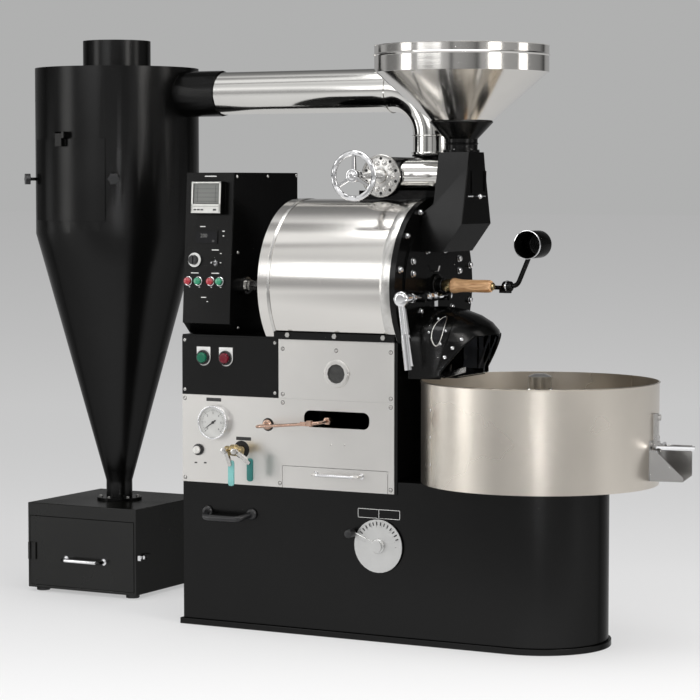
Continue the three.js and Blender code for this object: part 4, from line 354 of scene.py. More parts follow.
def round_edges(piece, width, angle):
    """Rounds every edge sharper than the angle by a width, in two steps."""
    bevel = piece.modifiers.new("rounded", "BEVEL")
    bevel.width = width
    bevel.segments = 2
    bevel.limit_method = "ANGLE"
    bevel.angle_limit = math.radians(angle)
    bevel.harden_normals = False
    return piece


bodies = frame["record"]["behaviour"]["bodies"]
node_body = {solid: body for body, members in bodies.items() for solid in members}


def dress(solid, material, width=edge_round, angle=40.0):
    """A dressed copy of a CAD solid: its doubled corners are merged, its flat faces made whole, and
    its edges rounded by the width."""
    mesh = frame["nodes"][solid].data.copy()
    form = bmesh.new()
    form.from_mesh(mesh)
    bmesh.ops.remove_doubles(form, verts=form.verts, dist=1e-6)
    bmesh.ops.dissolve_limit(form, angle_limit=math.radians(0.5), verts=form.verts, edges=form.edges)
    form.to_mesh(mesh)
    form.free()
    smooth_mesh(mesh, angle)
    piece = install("dressed_" + solid, mesh, material, node_body[solid], [solid])
    return round_edges(piece, width, angle)


dress("base_plinth", powder_black)
dress("base_cabinet", powder_black)


# Handle on the base
# A bent round bar in black plastic on two round feet, screwed to the front of the base.
MM = 0.001
handle_left = -974.0
handle_right = -824.0
handle_foot = (-197.3, 339.0)
handle_front = (-249.0, 327.0)
handle_bar = 9.0


def eased(points, reach, steps, loop=False):
    """Cuts each corner with a small arc: (1-t)^2 A + 2t(1-t) B + t^2 C, where A and C lie at the
    reach on either side of the corner B, and never past the middle of a run."""
    p = np.asarray(points, float)

    def toward(q):
        gap = np.linalg.norm(q - p, axis=1, keepdims=True)
        return p + (q - p) * np.minimum(reach / np.maximum(gap, 1e-9), 0.46)

    first, last = toward(np.roll(p, 1, 0)), toward(np.roll(p, -1, 0))
    t = np.linspace(0.0, 1.0, steps + 1)[None, :, None]
    arcs = (1 - t) ** 2 * first[:, None] + 2 * t * (1 - t) * p[:, None] + t ** 2 * last[:, None]
    if loop:
        return arcs.reshape(-1, p.shape[1])
    return np.concatenate([p[:1], arcs[1:-1].reshape(-1, p.shape[1]), p[-1:]])


def skin(name, grids, loop_rows=False):
    """A mesh over grids of points, all of one size (grids, rows, columns, 3), in millimetres. Each
    face joins two neighbours of a row to the same two of the next row; columns run round."""
    grids = np.asarray(grids, float)
    if grids.ndim == 3:
        grids = grids[None]
    count, rows, cols = grids.shape[:3]
    r = np.arange(rows if loop_rows else rows - 1)[:, None]
    c = np.arange(cols)[None, :]
    down, right = (r + 1) % rows, (c + 1) % cols
    quads = np.stack([r * cols + c, r * cols + right, down * cols + right, down * cols + c], -1)
    quads = quads.reshape(1, -1, 4) + np.arange(count).reshape(-1, 1, 1) * rows * cols
    mesh = bpy.data.meshes.new(name)
    mesh.from_pydata((grids.reshape(-1, 3) * MM), [], quads.reshape(-1, 4).tolist())
    form = bmesh.new()
    form.from_mesh(mesh)
    bmesh.ops.remove_doubles(form, verts=form.verts, dist=1e-6)
    bmesh.ops.dissolve_degenerate(form, edges=form.edges, dist=1e-7)
    bmesh.ops.recalc_face_normals(form, faces=form.faces)
    form.to_mesh(mesh)
    form.free()
    smooth_mesh(mesh)
    return mesh


def round_way(turns):
    """Evenly spaced angles round a circle."""
    return np.linspace(0.0, 2 * np.pi, turns, endpoint=False)


def tube(name, path, radius, across, sides=20, wall=None, loop=False):
    """A round bar along a path that lies in one plane: a ring is centre + radius (cos * across +
    sin * (way x across)). With a wall it is a pipe, whose inner ring comes back along the path; as a
    loop it closes on itself."""
    path = np.asarray(path, float)
    way = np.roll(path, -1, 0) - np.roll(path, 1, 0) if loop else np.gradient(path, axis=0)
    way /= np.linalg.norm(way, axis=1, keepdims=True)
    across = np.asarray(across, float) / np.linalg.norm(across)
    up = np.cross(way, across)
    turn = round_way(sides)[None, :, None]
    ring = np.cos(turn) * across + np.sin(turn) * up[:, None]
    grid = path[:, None] + ring * radius
    if wall:
        grid = np.concatenate([grid, (path[:, None] + ring * (radius - wall))[::-1]])
    if wall or loop:
        return skin(name, grid, loop_rows=True)
    ends = [np.repeat(path[k][None, None], sides, 1) for k in (0, -1)]
    return skin(name, np.concatenate([ends[0], grid, ends[1]]))


def placed_on(axis, along, first, second):
    """Points in x, y, z order, from their place along an axis and the two across it."""
    along = np.broadcast_to(along, first.shape)
    order = {"x": (along, first, second), "y": (first, along, second), "z": (first, second, along)}
    return np.stack(order[axis], -1)


def lathe(name, profile, axis, centre, turns, loop=False, ease=0.0):
    """A profile of (radius, height) turned about a line along an axis: a point is centre + radius *
    (cos, sin) across the line, at its height along it. Corners are cut by the ease."""
    profile = np.asarray(profile, float)
    if ease:
        profile = eased(profile, ease, 2, loop)
    radius, height = profile[:, :1], profile[:, 1:]
    turn = round_way(turns)[None]
    grid = placed_on(axis, height, centre[0] + radius * np.cos(turn), centre[1] + radius * np.sin(turn))
    return skin(name, grid, loop_rows=loop)


def merged(name, *meshes):
    """Several meshes as one."""
    form = bmesh.new()
    for mesh in meshes:
        form.from_mesh(mesh)
        bpy.data.meshes.remove(mesh)
    whole = bpy.data.meshes.new(name)
    form.to_mesh(whole)
    form.free()
    smooth_mesh(whole)
    return whole


black_plastic = finish("black_plastic", (0.012, 0.012, 0.013), 0.34, tone=14.0, tone_span=0.06,
                       stretch=(1400.0,) * 3, depth=0.00008, tint=0.1)
y_foot, z_foot = handle_foot
y_grip, z_grip = handle_front
grip_path = eased([(handle_left, y_foot, z_foot), (handle_left + 4, y_foot - 14, z_foot - 3),
                   (handle_left + 18, y_grip, z_grip), (handle_right - 18, y_grip, z_grip),
                   (handle_right - 4, y_foot - 14, z_foot - 3), (handle_right, y_foot, z_foot)], 20.0, 5)
feet = [lathe("foot", [(0, y_foot), (17, y_foot), (17, y_foot - 5), (12, y_foot - 11), (0, y_foot - 11)],
              "y", (x, z_foot), 32, ease=1.5) for x in (handle_left, handle_right)]
across = np.cross([1.0, 0.0, 0.0], [0.0, y_grip - y_foot, z_grip - z_foot])
install("base_grip", merged("base_grip", tube("grip", grip_path, handle_bar, across), *feet), black_plastic,
        "machine", ["base_handle"])


# Airflow control
# A machined aluminium disc on the front of the base turns a shutter behind the skin. A thin lever
# with a black knob turns it, its rim carries dark ticks, and a bare two-cell strip is above it.
air_centre = np.array([-406.0, 274.0])
air_front = -206.0
air_skin = -197.0
air_arm = -207.5
air_lever = math.radians(158.0)
air_knob_reach = 88.0
tick_number = 13


def slab(name, outline, levels, origin, right, up, out):
    """A plate: its outline is carried outwards, and at each level of (inset, height) every point is
    moved in along its own normal by the inset. The first and the last level close to the middle."""
    line = np.asarray(outline, float)
    edge = np.roll(line, -1, 0) - np.roll(line, 1, 0)
    normal = np.stack([edge[:, 1], -edge[:, 0]], -1) / np.linalg.norm(edge, axis=1, keepdims=True)
    levels = np.asarray(levels, float)
    flat = line[None] - normal[None] * levels[:, :1, None]
    closed = np.broadcast_to(line.mean(0), flat[:1].shape)
    flat = np.concatenate([closed, flat, closed])
    height = np.concatenate([levels[:1, 1], levels[:, 1], levels[-1:, 1]])[:, None, None]
    right, up, out = (np.asarray(way, float) for way in (right, up, out))
    grid = np.asarray(origin, float) + flat[..., :1] * right + flat[..., 1:] * up + height * out
    return skin(name, grid)


def rounded_box(width, height, corner, steps):
    """A rectangle about the origin with its corners cut by arcs, anticlockwise."""
    w, h = width / 2, height / 2
    return eased([(w, h), (-w, h), (-w, -h), (w, -h)], corner, steps, loop=True)


def scatter(name, places, out, profile, sides=12):
    """Many small turned pieces, one at each place, all facing out: a point is the place + radius
    (cos * a + sin * b) + height * out, with a and b square to out."""
    places = np.atleast_2d(np.asarray(places, float))
    out = np.broadcast_to(np.asarray(out, float), places.shape)
    out = out / np.linalg.norm(out, axis=1, keepdims=True)
    helper = np.where(np.abs(out[:, 2:]) > 0.9, [[1.0, 0.0, 0.0]], [[0.0, 0.0, 1.0]])
    a = np.cross(helper, out)
    a /= np.linalg.norm(a, axis=1, keepdims=True)
    b = np.cross(out, a)
    profile = np.asarray(profile, float)
    turn = round_way(sides)
    spread = np.cos(turn)[None, :, None] * a[:, None] + np.sin(turn)[None, :, None] * b[:, None]
    grids = (places[:, None, None] + profile[None, :, :1, None] * spread[:, None]
             + profile[None, :, 1:, None] * out[:, None, None])
    return skin(name, grids)


def ringed(axis, centre, height, radius, turns):
    """Places on a circle about a line along an axis: centre + radius * (cos, sin) across the line,
    at one height along it."""
    turns = np.asarray(turns, float)
    return placed_on(axis, height, centre[0] + radius * np.cos(turns), centre[1] + radius * np.sin(turns))


dome_screw = [(0, -1.5), (5.2, -1.5), (5.2, 0.8), (4.2, 2.2), (2.6, 2.8), (2.2, 1.2), (0, 1.2)]
hex_bolt = [(0, -1.0), (8.0, -1.0), (8.0, 3.6), (7.2, 4.6), (0, 4.6)]
face_right, face_up, face_out = (1.0, 0.0, 0.0), (0.0, 0.0, 1.0), (0.0, -1.0, 0.0)


def turned_face(turn):
    """The right, up and out ways of a front face turned by an angle: right is (cos, 0, sin) and up
    is (-sin, 0, cos)."""
    return (math.cos(turn), 0, math.sin(turn)), (-math.sin(turn), 0, math.cos(turn)), face_out


aluminium = finish("aluminium", (0.66, 0.66, 0.65), 0.33, metal=1.0, tone=14.0, stretch=(240.0,) * 3,
                   depth=0.00005, tint=0.04)
dress("airflow_disc", aluminium, 0.0006)
white_mark = finish("white_mark", (0.72, 0.72, 0.70), 0.5, tone=20.0, depth=0.00002)
dark_mark = finish("dark_mark", (0.02, 0.02, 0.02), 0.5, tone=20.0, depth=0.00002)
knob_at, arm_place = (ringed("y", air_centre, air_arm, reach, air_lever) for reach in (air_knob_reach, 66))
knob_line = [(0, -208), (11.4, -208), (12.4, -212), (13, -224), (11.8, -236), (9, -238.5), (0, -239)]
knob = lathe("knob", knob_line, "y", knob_at[[0, 2]], 40, ease=1.2)
install("airflow_knob", knob, black_plastic, "airflow_disc")
tick_turns = np.radians(np.linspace(20.0, 146.0, tick_number))
tick_places = ringed("y", air_centre, air_front, 64, tick_turns)
ticks = [slab("tick", rounded_box(10.0, 3.6, 0.6, 1), [(0, -0.1), (0, 0.15)], place, *turned_face(turn))
         for place, turn in zip(tick_places, tick_turns)]
install("airflow_ticks", merged("airflow_ticks", *ticks), dark_mark, "airflow_disc")
arm = slab("arm", rounded_box(54, 11, 4.0, 4), [(0, 0), (0, 2.6), (1.0, 3.6)], arm_place,
           *turned_face(air_lever))
hub_line = [(0, -205), (21, -205), (21, -211), (19, -213), (9, -213.4), (8, -217), (0, -217.4)]
hub = lathe("hub", hub_line, "y", air_centre, 28, ease=0.6)
install("airflow_arm", merged("airflow_arm", arm, hub), aluminium, "airflow_disc")
strip_lines = [(-408, 377, 134, 1.3), (-408, 352, 134, 1.3), (-474.4, 364.5, 1.3, 26),
               (-341.6, 364.5, 1.3, 26), (-408, 364.5, 1.3, 26)]
strip = [slab("strip", rounded_box(wide, high, 0.5, 2), [(0, -0.2), (0, 0.3)], (x, air_skin, z),
              face_right, face_up, face_out) for x, z, wide, high in strip_lines]
install("airflow_strip", merged("airflow_strip", *strip), white_mark, "machine")


# Gas and burner panels
# Two sheets of brushed stainless steel are screwed to the burner cabinet, and one black sheet
# holds the buttons. The burner lies behind a grille in a round port, drawn as a solid dark disc.
panel_face = -200.0
port_centre = (-542.0, 757.7)
brushed = finish("brushed_panel", (0.71, 0.695, 0.67), 0.30, metal=1.0, tone=2.4, tone_span=0.05,
                 stretch=(9.0, 1000.0, 1000.0), depth=0.00005, tint=0.03)
steel = finish("steel_screws", (0.60, 0.59, 0.57), 0.22, metal=1.0, tone=30.0, stretch=(300.0,) * 3,
               depth=0.00004)


def section(inner, outer, start, end):
    """The profile of a plain ring between two radii and two heights, or of a disc if the inner is 0."""
    return [(inner, start), (outer, start), (outer, end), (inner, end)]


for solid in ("gas_panel", "burner_panel"):
    dress(solid, brushed, 0.0006)
dress("button_panel", powder_black, 0.0006)
panel_screws = [(x, panel_face, z) for x, z in (
    (-719, 824), (-544, 824), (-369, 824), (-719, 693), (-369, 693), (-1050, 669), (-719, 669), (-369, 669),
    (-1050, 435), (-729, 435), (-369, 435), (-1050, 840), (-745, 840), (-1050, 695), (-745, 695))]
screws = scatter("panel_screws", panel_screws, face_out, dome_screw)
install("panel_screws", screws, steel, "machine")
# A thin dark disc under each panel screw is painted shade, for the dark gap round the screw head.
screw_shade_rings = scatter("screw_shade_rings", panel_screws, face_out, section(0, 6.3, -0.1, 0.3))
install("painted_screw_shade", screw_shade_rings, dark_mark, "machine")
port_screws = [(port_centre[0] + across, panel_face - 5, port_centre[1]) for across in (-38, 38)]
port_screws += [(-561, panel_face, 554), (-517, panel_face, 555)]
small_screw = [(0, -1), (2.6, -1), (2.6, 0.4), (1.8, 1.4), (0, 1.6)]
screws = scatter("port_screws", port_screws, face_out, small_screw)
install("port_screws", screws, steel, "machine")
# The grille is one dark disc: the wire's own grey, darkened with painted shade for the burner's shadowed
# inside seen through the weave.
wire_and_gap_shade = finish("woven_wire_and_shade", (0.050, 0.050, 0.048), 0.5, metal=0.4, tone=40.0, stretch=(1900.0,) * 3,
                   depth=0.0008, tint=0.3)
grille_line = [(0, -199.2), (28.8, -199.2), (28.8, -200.2), (14, -200.6), (0, -200.8)]
grille = lathe("grille", grille_line, "y", port_centre, 64)
install("port_grille", grille, wire_and_gap_shade, "machine")
port_line = [(28.4, -199), (40, -199), (40, -202.2), (38.6, -203.4), (30.0, -203.4), (28.4, -202.2)]
port_ring = lathe("ring", port_line, "y", port_centre, 64, loop=True, ease=0.5)
install("port_ring", port_ring, brushed, "machine")
rail_bolts = [(x, -211, 865) for x in (-696, -543, -387)]
bolts = scatter("rail_bolts", rail_bolts, face_out, hex_bolt, 6)
install("rail_bolts", bolts, steel, "machine")
dress("burner_cabinet", powder_black, 0.001)


# Start and stop buttons
# Two mushroom buttons, green and red, each in a guard ring on a white legend plate that is flat on
# top and round below.
button_z = 791.0
arc = np.linspace(np.pi, 2 * np.pi, 15)
legend = np.concatenate([[(23, 32), (-23, 32)], np.stack([23 * np.cos(arc), 23 * np.sin(arc)], -1)])
cap_line = [(0, -207.4), (15.0, -207.4), (15.4, -212), (14.4, -216), (10.5, -217.6), (9.6, -216.6),
            (0, -216.8)]
guard_line = [(16.6, -201), (21.4, -201), (21.4, -206.6), (20.2, -208.4), (17.6, -208.4), (16.6, -206.6)]
for name, x, colour in (("start", -985.0, (0.003, 0.125, 0.065)), ("stop", -909.0, (0.13, 0.004, 0.014))):
    plate = slab("legend", legend, [(0, 0), (0, 1.0), (0.6, 1.6)], (x, panel_face - 0.1, button_z - 1),
                 face_right, face_up, face_out)
    install(name + "_legend", plate, white_mark, "machine")
    lens = finish(name + "_lens", colour, 0.14, tone=30.0, tone_span=0.03, depth=0.00001,
                  plain=[("Specular IOR Level", 0.4)])
    solid = name + "_button"
    cap = lathe("cap", cap_line, "y", (x, button_z), 48, ease=0.8)
    install(name + "_cap", cap, lens, solid, [solid])
    guard = lathe("guard", guard_line, "y", (x, button_z), 48, loop=True, ease=0.4)
    install(name + "_guard", guard, black_plastic, "machine")


# Pressure gauge
# A dial in a rolled chrome rim lies flat on the panel, with a plain scale of ticks, a few numbers
# and a black needle.
gauge_at, gauge_back = (-947.0, 602.0), -200.3
dial_face = gauge_back - 11
scale_span = (225.0, -45.0)
gauge_line = [(0, 0), (46, 0), (47, -2), (47, -12), (49.6, -13), (49.6, -17), (48.6, -18.4), (45.6, -18.4),
              (44.6, -17), (44.6, -10), (0, -10)]
case = lathe("case", [(r, gauge_back + y) for r, y in gauge_line], "y", gauge_at, 72, ease=0.7)
chrome = finish("chrome", (0.80, 0.80, 0.81), 0.07, metal=1.0, tone=8.0, tone_span=0.02, stretch=(60.0,) * 3,
                depth=0.00001, tint=0.01)
install("gauge_case", case, chrome, "machine", ["pressure_gauge"])
dial_white = finish("dial_white", (0.56, 0.56, 0.54), 0.4, tone=20.0, depth=0.00001)
dial = lathe("dial", section(0, 44.4, gauge_back - 9.9, dial_face), "y", gauge_at, 64)
install("gauge_dial", dial, dial_white, "machine")
scale = np.radians(np.linspace(*scale_span, 31))
marks = []
for k, (place, turn) in enumerate(zip(ringed("y", gauge_at, dial_face, 36, scale), scale)):
    length, thick = (7.0, 1.3) if k % 5 == 0 else (4.0, 0.7)
    mark = rounded_box(length, thick, 0.2, 1)
    marks.append(slab("mark", mark, [(0, 0), (0, 0.3)], place, *turned_face(turn)))
needle = [(33, 0.4), (33, -0.4), (-11, -2.0), (-11, 2.0)]
marks.append(slab("needle", needle, [(0, 1.2), (0, 2.0)], (gauge_at[0], dial_face, gauge_at[1]),
                  *turned_face(math.radians(215.0))))
boss_line = [(0, dial_face), (4, dial_face), (4, dial_face - 3), (0, dial_face - 3.4)]
marks.append(lathe("boss", boss_line, "y", gauge_at, 24))


def words(text, size, centre, right, up, out):
    """Plain numbers as a thin solid, centred on a point and set in the plane of right and up."""
    curve = bpy.data.curves.new("text", "FONT")
    curve.body = text
    curve.size = size * MM
    curve.align_x = "CENTER"
    curve.align_y = "CENTER"
    curve.extrude = 0.25 * MM
    curve.resolution_u = 2
    holder = bpy.data.objects.new("text", curve)
    bpy.context.scene.collection.objects.link(holder)
    bpy.context.view_layer.update()
    mesh = bpy.data.meshes.new_from_object(holder.evaluated_get(bpy.context.evaluated_depsgraph_get()))
    bpy.data.objects.remove(holder)
    flat = np.empty(len(mesh.vertices) * 3)
    mesh.vertices.foreach_get("co", flat)
    flat = flat.reshape(-1, 3)
    basis = np.array([right, up, out], float)
    mesh.vertices.foreach_set("co", (flat @ basis + np.asarray(centre, float) * MM).ravel())
    mesh.update()
    return mesh


number_places = ringed("y", gauge_at, dial_face - 0.1, 27, np.radians(np.linspace(*scale_span, 7)))
marks += [words(str(k), 8.5, place, face_right, face_up, face_out) for k, place in enumerate(number_places)]
install("gauge_marks", merged("gauge_marks", *marks), dark_mark, "machine")


# Gas knob, name strips
# A white turn knob on a black skirt with two marks below, and bare strips over the gauge and valve.
knob_centre = (-1004.0, 519.0)
skirt_line = [(0, -200.3), (17, -200.3), (17, -204), (15.4, -208), (0, -208)]
skirt = lathe("skirt", skirt_line, "y", knob_centre, 48, ease=0.8)
install("gas_knob_skirt", skirt, black_plastic, "gas_knob", ["gas_knob"])
knob_white = finish("knob_white", (0.74, 0.73, 0.70), 0.3, tone=20.0, depth=0.00002)
cap_line = [(0, -207), (11.5, -207), (11, -215), (9.4, -216.5), (0, -216.5)]
cap = lathe("cap", cap_line, "y", knob_centre, 40, ease=0.8)
grip = slab("grip", rounded_box(7, 23, 3.0, 4), [(0, -214), (0.2, 0), (1.2, 6.4), (2.6, 7.0)],
            (knob_centre[0], -214, knob_centre[1]), face_right, face_up, face_out)
install("gas_knob_cap", merged("cap", cap, grip), knob_white, "gas_knob")
strips = [(-951, 668, 50, 10), (-850, 558, 50, 10), (-1013, 480, 9, 4), (-981, 481, 9, 4)]
plates = [slab("plate", rounded_box(wide, high, 1.2, 2), [(0, 0), (0, 0.5)], (x, panel_face, z),
               face_right, face_up, face_out) for x, z, wide, high in strips]
install("name_strips", merged("name_strips", *plates), dark_mark, "machine")


# Gas valve and copper pipe
# A brass body comes out of a round port. Two steel levers hang from it in dipped teal sleeves, one
# light and one dark, and a soft copper pipe runs from its own port to the burner.
valve_z = 528.0
valve_port = (-857.0, 526.0)
pipe_port = (-768.0, 603.0)
pipe_end = (-560.0, 624.0)
pipe_out = -280.0
pipe_climb = 20.0
brass_metal = finish("brass", (0.46, 0.36, 0.19), 0.26, metal=1.0, tone=26.0, stretch=(260.0,) * 3,
                     depth=0.00006, tint=0.12)
copper_metal = finish("copper", (0.50, 0.34, 0.265), 0.22, metal=1.0, tone=22.0, tone_span=0.08,
                      stretch=(160.0,) * 3, depth=0.00006, tint=0.16)
dress("gas_valve", brass_metal, 0.0008)
pipe_way = eased([(pipe_port[0], -196, pipe_port[1]), (pipe_port[0], pipe_out, pipe_port[1]),
                  (pipe_end[0], pipe_out, pipe_end[1] - 2), (pipe_end[0], -196, pipe_end[1])], 26.0, 6)
pipe_bits = [tube("line", pipe_way, 4.6, (0, 0, 1), 16)]
for x, half, reach in ((-606, 10, 7.0), (-586, 8, 9.4)):
    height = pipe_port[1] + pipe_climb * (x - pipe_port[0]) / (pipe_end[0] - pipe_port[0])
    nut_line = section(0, reach, x - half, x + half)
    pipe_bits.append(lathe("nut", nut_line, "x", (pipe_out, height), 6, ease=0.8))
gasket_line = [(0, -200.3), (15, -200.3), (15, -206), (11, -213), (0, -213)]
pipe_bits.append(lathe("gasket", gasket_line, "y", pipe_port, 24, ease=0.8))
pipe_bits.append(lathe("elbow_nut", section(0, 11, -213, -228), "y", pipe_end, 6, ease=0.8))
install("copper_line", merged("copper_line", *pipe_bits), copper_metal, "machine",
        ["copper_gas_pipe"])
sleeve_levels = [(3.0, -4.0), (0.8, -3.0), (0, -1.0), (0, 1.0), (0.8, 3.0), (3.0, 4.0)]
strap_levels = [(0.6, -9.0), (0, -8.4), (0, 1.0), (0.6, 1.6)]
for solid, pivot, top, low, colour in (
        ("valve_handle_left", -873.0, (-859.0, 500.0), 425.0, (0.20, 0.50, 0.48)),
        ("valve_handle_right", -839.0, (-796.0, 509.0), 442.0, (0.012, 0.15, 0.135))):
    sleeve = finish(solid + "_sleeve", colour, 0.34, tone=16.0, depth=0.00006, tint=0.10)
    grip = slab("sleeve", rounded_box(20, top[1] - low, 9.0, 5), sleeve_levels,
                (top[0], -256.0, (top[1] + low) / 2), face_right, face_up, face_out)
    install(solid + "_grip", grip, sleeve, solid, [solid])
    strap_end = top[1] - 12
    lean = math.atan2(strap_end - valve_z, top[0] - pivot)
    reach = math.hypot(strap_end - valve_z, top[0] - pivot)
    strap = slab("strap", rounded_box(reach + 10, 11, 4.0, 4), strap_levels,
                 ((pivot + top[0]) / 2, -266.0, (valve_z + strap_end) / 2), *turned_face(lean))
    nut = lathe("nut", section(0, 9, -270, -280), "y", (pivot, valve_z), 6, ease=0.8)
    install(solid + "_strap", merged("strap", strap, nut), steel, solid)
# Dark discs where the valve and the pipe pass through the panel are painted shade, for the shadowed openings.
painted_hole_shade = finish("painted_hole_shade", (0.004, 0.004, 0.004), 0.7, tone=8.0)
ports = [lathe("port", section(0, reach, -200.05, -200.35), "y", place, 40)
         for place, reach in ((valve_port, 26), (pipe_port, 19))]
install("pipe_ports", merged("pipe_ports", *ports), painted_hole_shade, "machine")


# Ash drawer
# A folded steel drawer under the burner with a bent chrome bar for a handle.
drawer_x, drawer_z = -536.0, 468.0


def bowed(half, middle, height):
    """A handle's path from one half of it: points of (distance from its middle, y) at one height,
    and the same points mirrored about its middle."""
    apart, y = np.asarray(half, float).T
    across = np.concatenate([middle - apart, middle + apart[::-1]])
    return np.stack([across, np.concatenate([y, y[::-1]]), np.full(len(across), height)], -1)


dress("ash_drawer", brushed, 0.0005)
drawer_way = eased(bowed([(74, -200.5), (71, -214), (62, -226)], drawer_x, drawer_z), 9.0, 4)
rose_line = [(0, -200), (8.5, -200), (8.5, -203), (6, -205), (0, -205)]
roses = [lathe("rose", rose_line, "y", (x, drawer_z), 24) for x in (drawer_x - 74, drawer_x + 74)]
drawer_bar = merged("drawer_bar", tube("bar", drawer_way, 4.6, (0, 0, 1), 14), *roses)
install("drawer_bar", drawer_bar, chrome, "ash_drawer")


# Control console
# The drive housing is black sheet steel. Its leaning front holds a recorder, a display, a
# selector with a white ring, a toggle switch and two pairs of lit buttons.
housing_left, housing_right, housing_rear = -1059.0, -899.0, 208.0
console_lean = math.atan(28.0 / 440.0)
console_up = np.array([0.0, math.sin(console_lean), math.cos(console_lean)])
console_out = np.array([0.0, -math.cos(console_lean), math.sin(console_lean)])
console_face = (face_right, console_up, console_out)
console_foot = np.array([housing_left, -197.0, 890.0])


def on_console(u, v, w=0.0):
    """A point of the console's face: u across, v up its slope and w out of it."""
    return console_foot + np.array([1.0, 0.0, 0.0]) * u + console_up * v + console_out * w


def console_plate(width, height, corner, levels, u, v, w):
    """A flat piece on the console's face, centred at u and v and starting w out of it."""
    return slab("plate", rounded_box(width, height, corner, 3), levels, on_console(u, v, w), *console_face)


def console_turned(profile, u, v, sides=40, ease=0.0):
    """One small turned piece on the console's face at u and v, its height out of the face."""
    profile = np.asarray(profile, float)
    if ease:
        profile = eased(profile, ease, 2)
    return scatter("turned", on_console(u, v), console_out, profile, sides)


dress("drive_housing", powder_black, 0.0016)
dress("control_face", powder_black, 0.0010)
grey_case = finish("instrument_grey", (0.60, 0.60, 0.57), 0.38, tone=30.0, depth=0.00003)
screen_grey = finish("screen_grey", (0.17, 0.175, 0.165), 0.30, tone=9.0, tone_span=0.03, depth=0.00001,
                     tint=0.05, plain=[("Specular IOR Level", 0.3)])
dark_glass = finish("dark_glass", (0.006, 0.006, 0.007), 0.14, tone=9.0, tone_span=0.03, depth=0.00001,
                    plain=[("Specular IOR Level", 0.3)])
bezel_bars = [(6, 90, 35, 368), (6, 90, 129, 368), (100, 5, 82, 410), (100, 27, 82, 334.5)]
bezel = [console_plate(wide, high, 0.6, [(0, 0), (0.6, 1.2)], u, v, 23.6) for wide, high, u, v in bezel_bars]
install("recorder_bezel", merged("recorder_bezel", *bezel), grey_case, "machine")
screen = console_plate(86, 58, 1.0, [(0, 0), (0, 1.0)], 82, 378, 19.6)
install("recorder_screen", screen, screen_grey, "machine")
key_rise = [(0, 0), (0.3, 0.7)]
keys = [console_plate(9, 4, 0.8, key_rise, 46 + 12 * k, 331, 24.8) for k in range(3)]
keys += [console_plate(11, 5, 0.8, key_rise, 113, 331, 24.8),
         console_plate(88, 0.8, 0.2, [(0, 0), (0, 0.3)], 82, 341, 24.8)]
rows = [console_plate(76, 0.8, 0.2, [(0, 0), (0, 0.25)], 82, v, 20.6) for v in (356, 368, 380, 392)]
rows += [console_plate(0.8, 48, 0.2, [(0, 0), (0, 0.25)], u, 378, 20.6) for u in (52, 112)]
install("recorder_marks", merged("recorder_marks", *keys, *rows), dark_mark, "machine")
display = console_plate(74, 35, 1.0, [(0, 0), (0, 1.0)], 73.5, 252, 1.8)
install("display_glass", display, dark_glass, "machine")
digits = merged("display_digits", words("200", 16.0, on_console(66, 256, 3.0), *console_face),
                words("60", 8.0, on_console(98, 241, 3.0), *console_face))
lit_digits = finish("display_digits", (0.16, 0.16, 0.155), 0.4, tone=20.0, depth=0.00001)
install("display_digits", digits, lit_digits, "machine")
ring_line = [(13.6, 2.6), (21, 2.6), (21, 5.4), (19.5, 6.6), (15, 6.6), (13.6, 5.4), (13.6, 2.6)]
install("selector_ring", console_turned(ring_line, 37, 185, 48), white_mark, "machine")
dress("selector_knob", black_plastic, 0.0008)
dress("toggle_switch", chrome, 0.0003)
nut_line = [(0, 0.2), (8.6, 0.2), (8.6, 3.2), (5.2, 5.6), (4.2, 5.6)]
install("toggle_nut", console_turned(nut_line, 107, 177, 24), chrome, "machine")
red_lens, green_lens = (0.32, 0.010, 0.02), (0.010, 0.22, 0.11)
lens_line = [(0, 4.4), (10.4, 4.4), (10.4, 10.4), (8.4, 12.2), (4, 13.0), (0, 13.2)]
rim_line = [(10.9, 0.2), (13.8, 0.2), (13.8, 2.6), (12.6, 3.8), (10.9, 3.4), (10.9, 0.2)]
for k, (u, colour) in enumerate(((16, red_lens), (50, green_lens), (92, red_lens), (123, green_lens))):
    solid = "console_button_%d" % (k + 1)
    lens = finish(solid + "_lens", colour, 0.2, tone=30.0, tone_span=0.03, depth=0.00001,
                  plain=[("Coat Weight", 0.6), ("Coat Roughness", 0.06), ("Emission Color", (*colour, 1.0)),
                         ("Emission Strength", 0.12)])
    cap = console_turned(lens_line, u, 123, 40, 0.6)
    install(solid + "_cap", cap, lens, solid, [solid])
    install(solid + "_ring", console_turned(rim_line, u, 123), chrome, "machine")
legends = [(82, 430, 40, 5), (60, 283, 18, 4), (105, 215, 24, 4), (37, 147, 26, 4), (107, 147, 26, 4),
           (70, 76, 18, 4), (124, 205, 5, 4), (124, 178, 5, 4), (20, 106, 5, 3), (54, 106, 5, 3),
           (95, 106, 5, 3), (127, 106, 5, 3), (83, 64, 5, 4), (131, 270, 8, 5), (131, 256, 5, 5)]
bars = [console_plate(wide, high * 0.62, 0.8, [(0, -0.1), (0, 0.35)], u, v, 0.1)
        for u, v, wide, high in legends]
install("console_strips", merged("console_strips", *bars), white_mark, "machine")
side_places = ((-150, 1318), (28, 1319), (200, 1322), (-148, 876), (200, 876), (200, 1097), (-148, 1097))
side_screws = [(housing_right, y, z) for y, z in side_places]
rear_screws = [(x, housing_rear, z) for x in (-1046, -912) for z in (1318, 1097, 872)]
left_screws = [(housing_left, y, z) for y in (-150, 28, 200) for z in (1318, 876)]
screws = [scatter("screws", places, out, dome_screw) for places, out in (
    (side_screws, (1, 0, 0)), (rear_screws, (0, 1, 0)), (left_screws, (-1, 0, 0)))]
install("housing_screws", merged("housing_screws", *screws), steel, "machine")
dress("rear_coupling", steel, 0.0008)


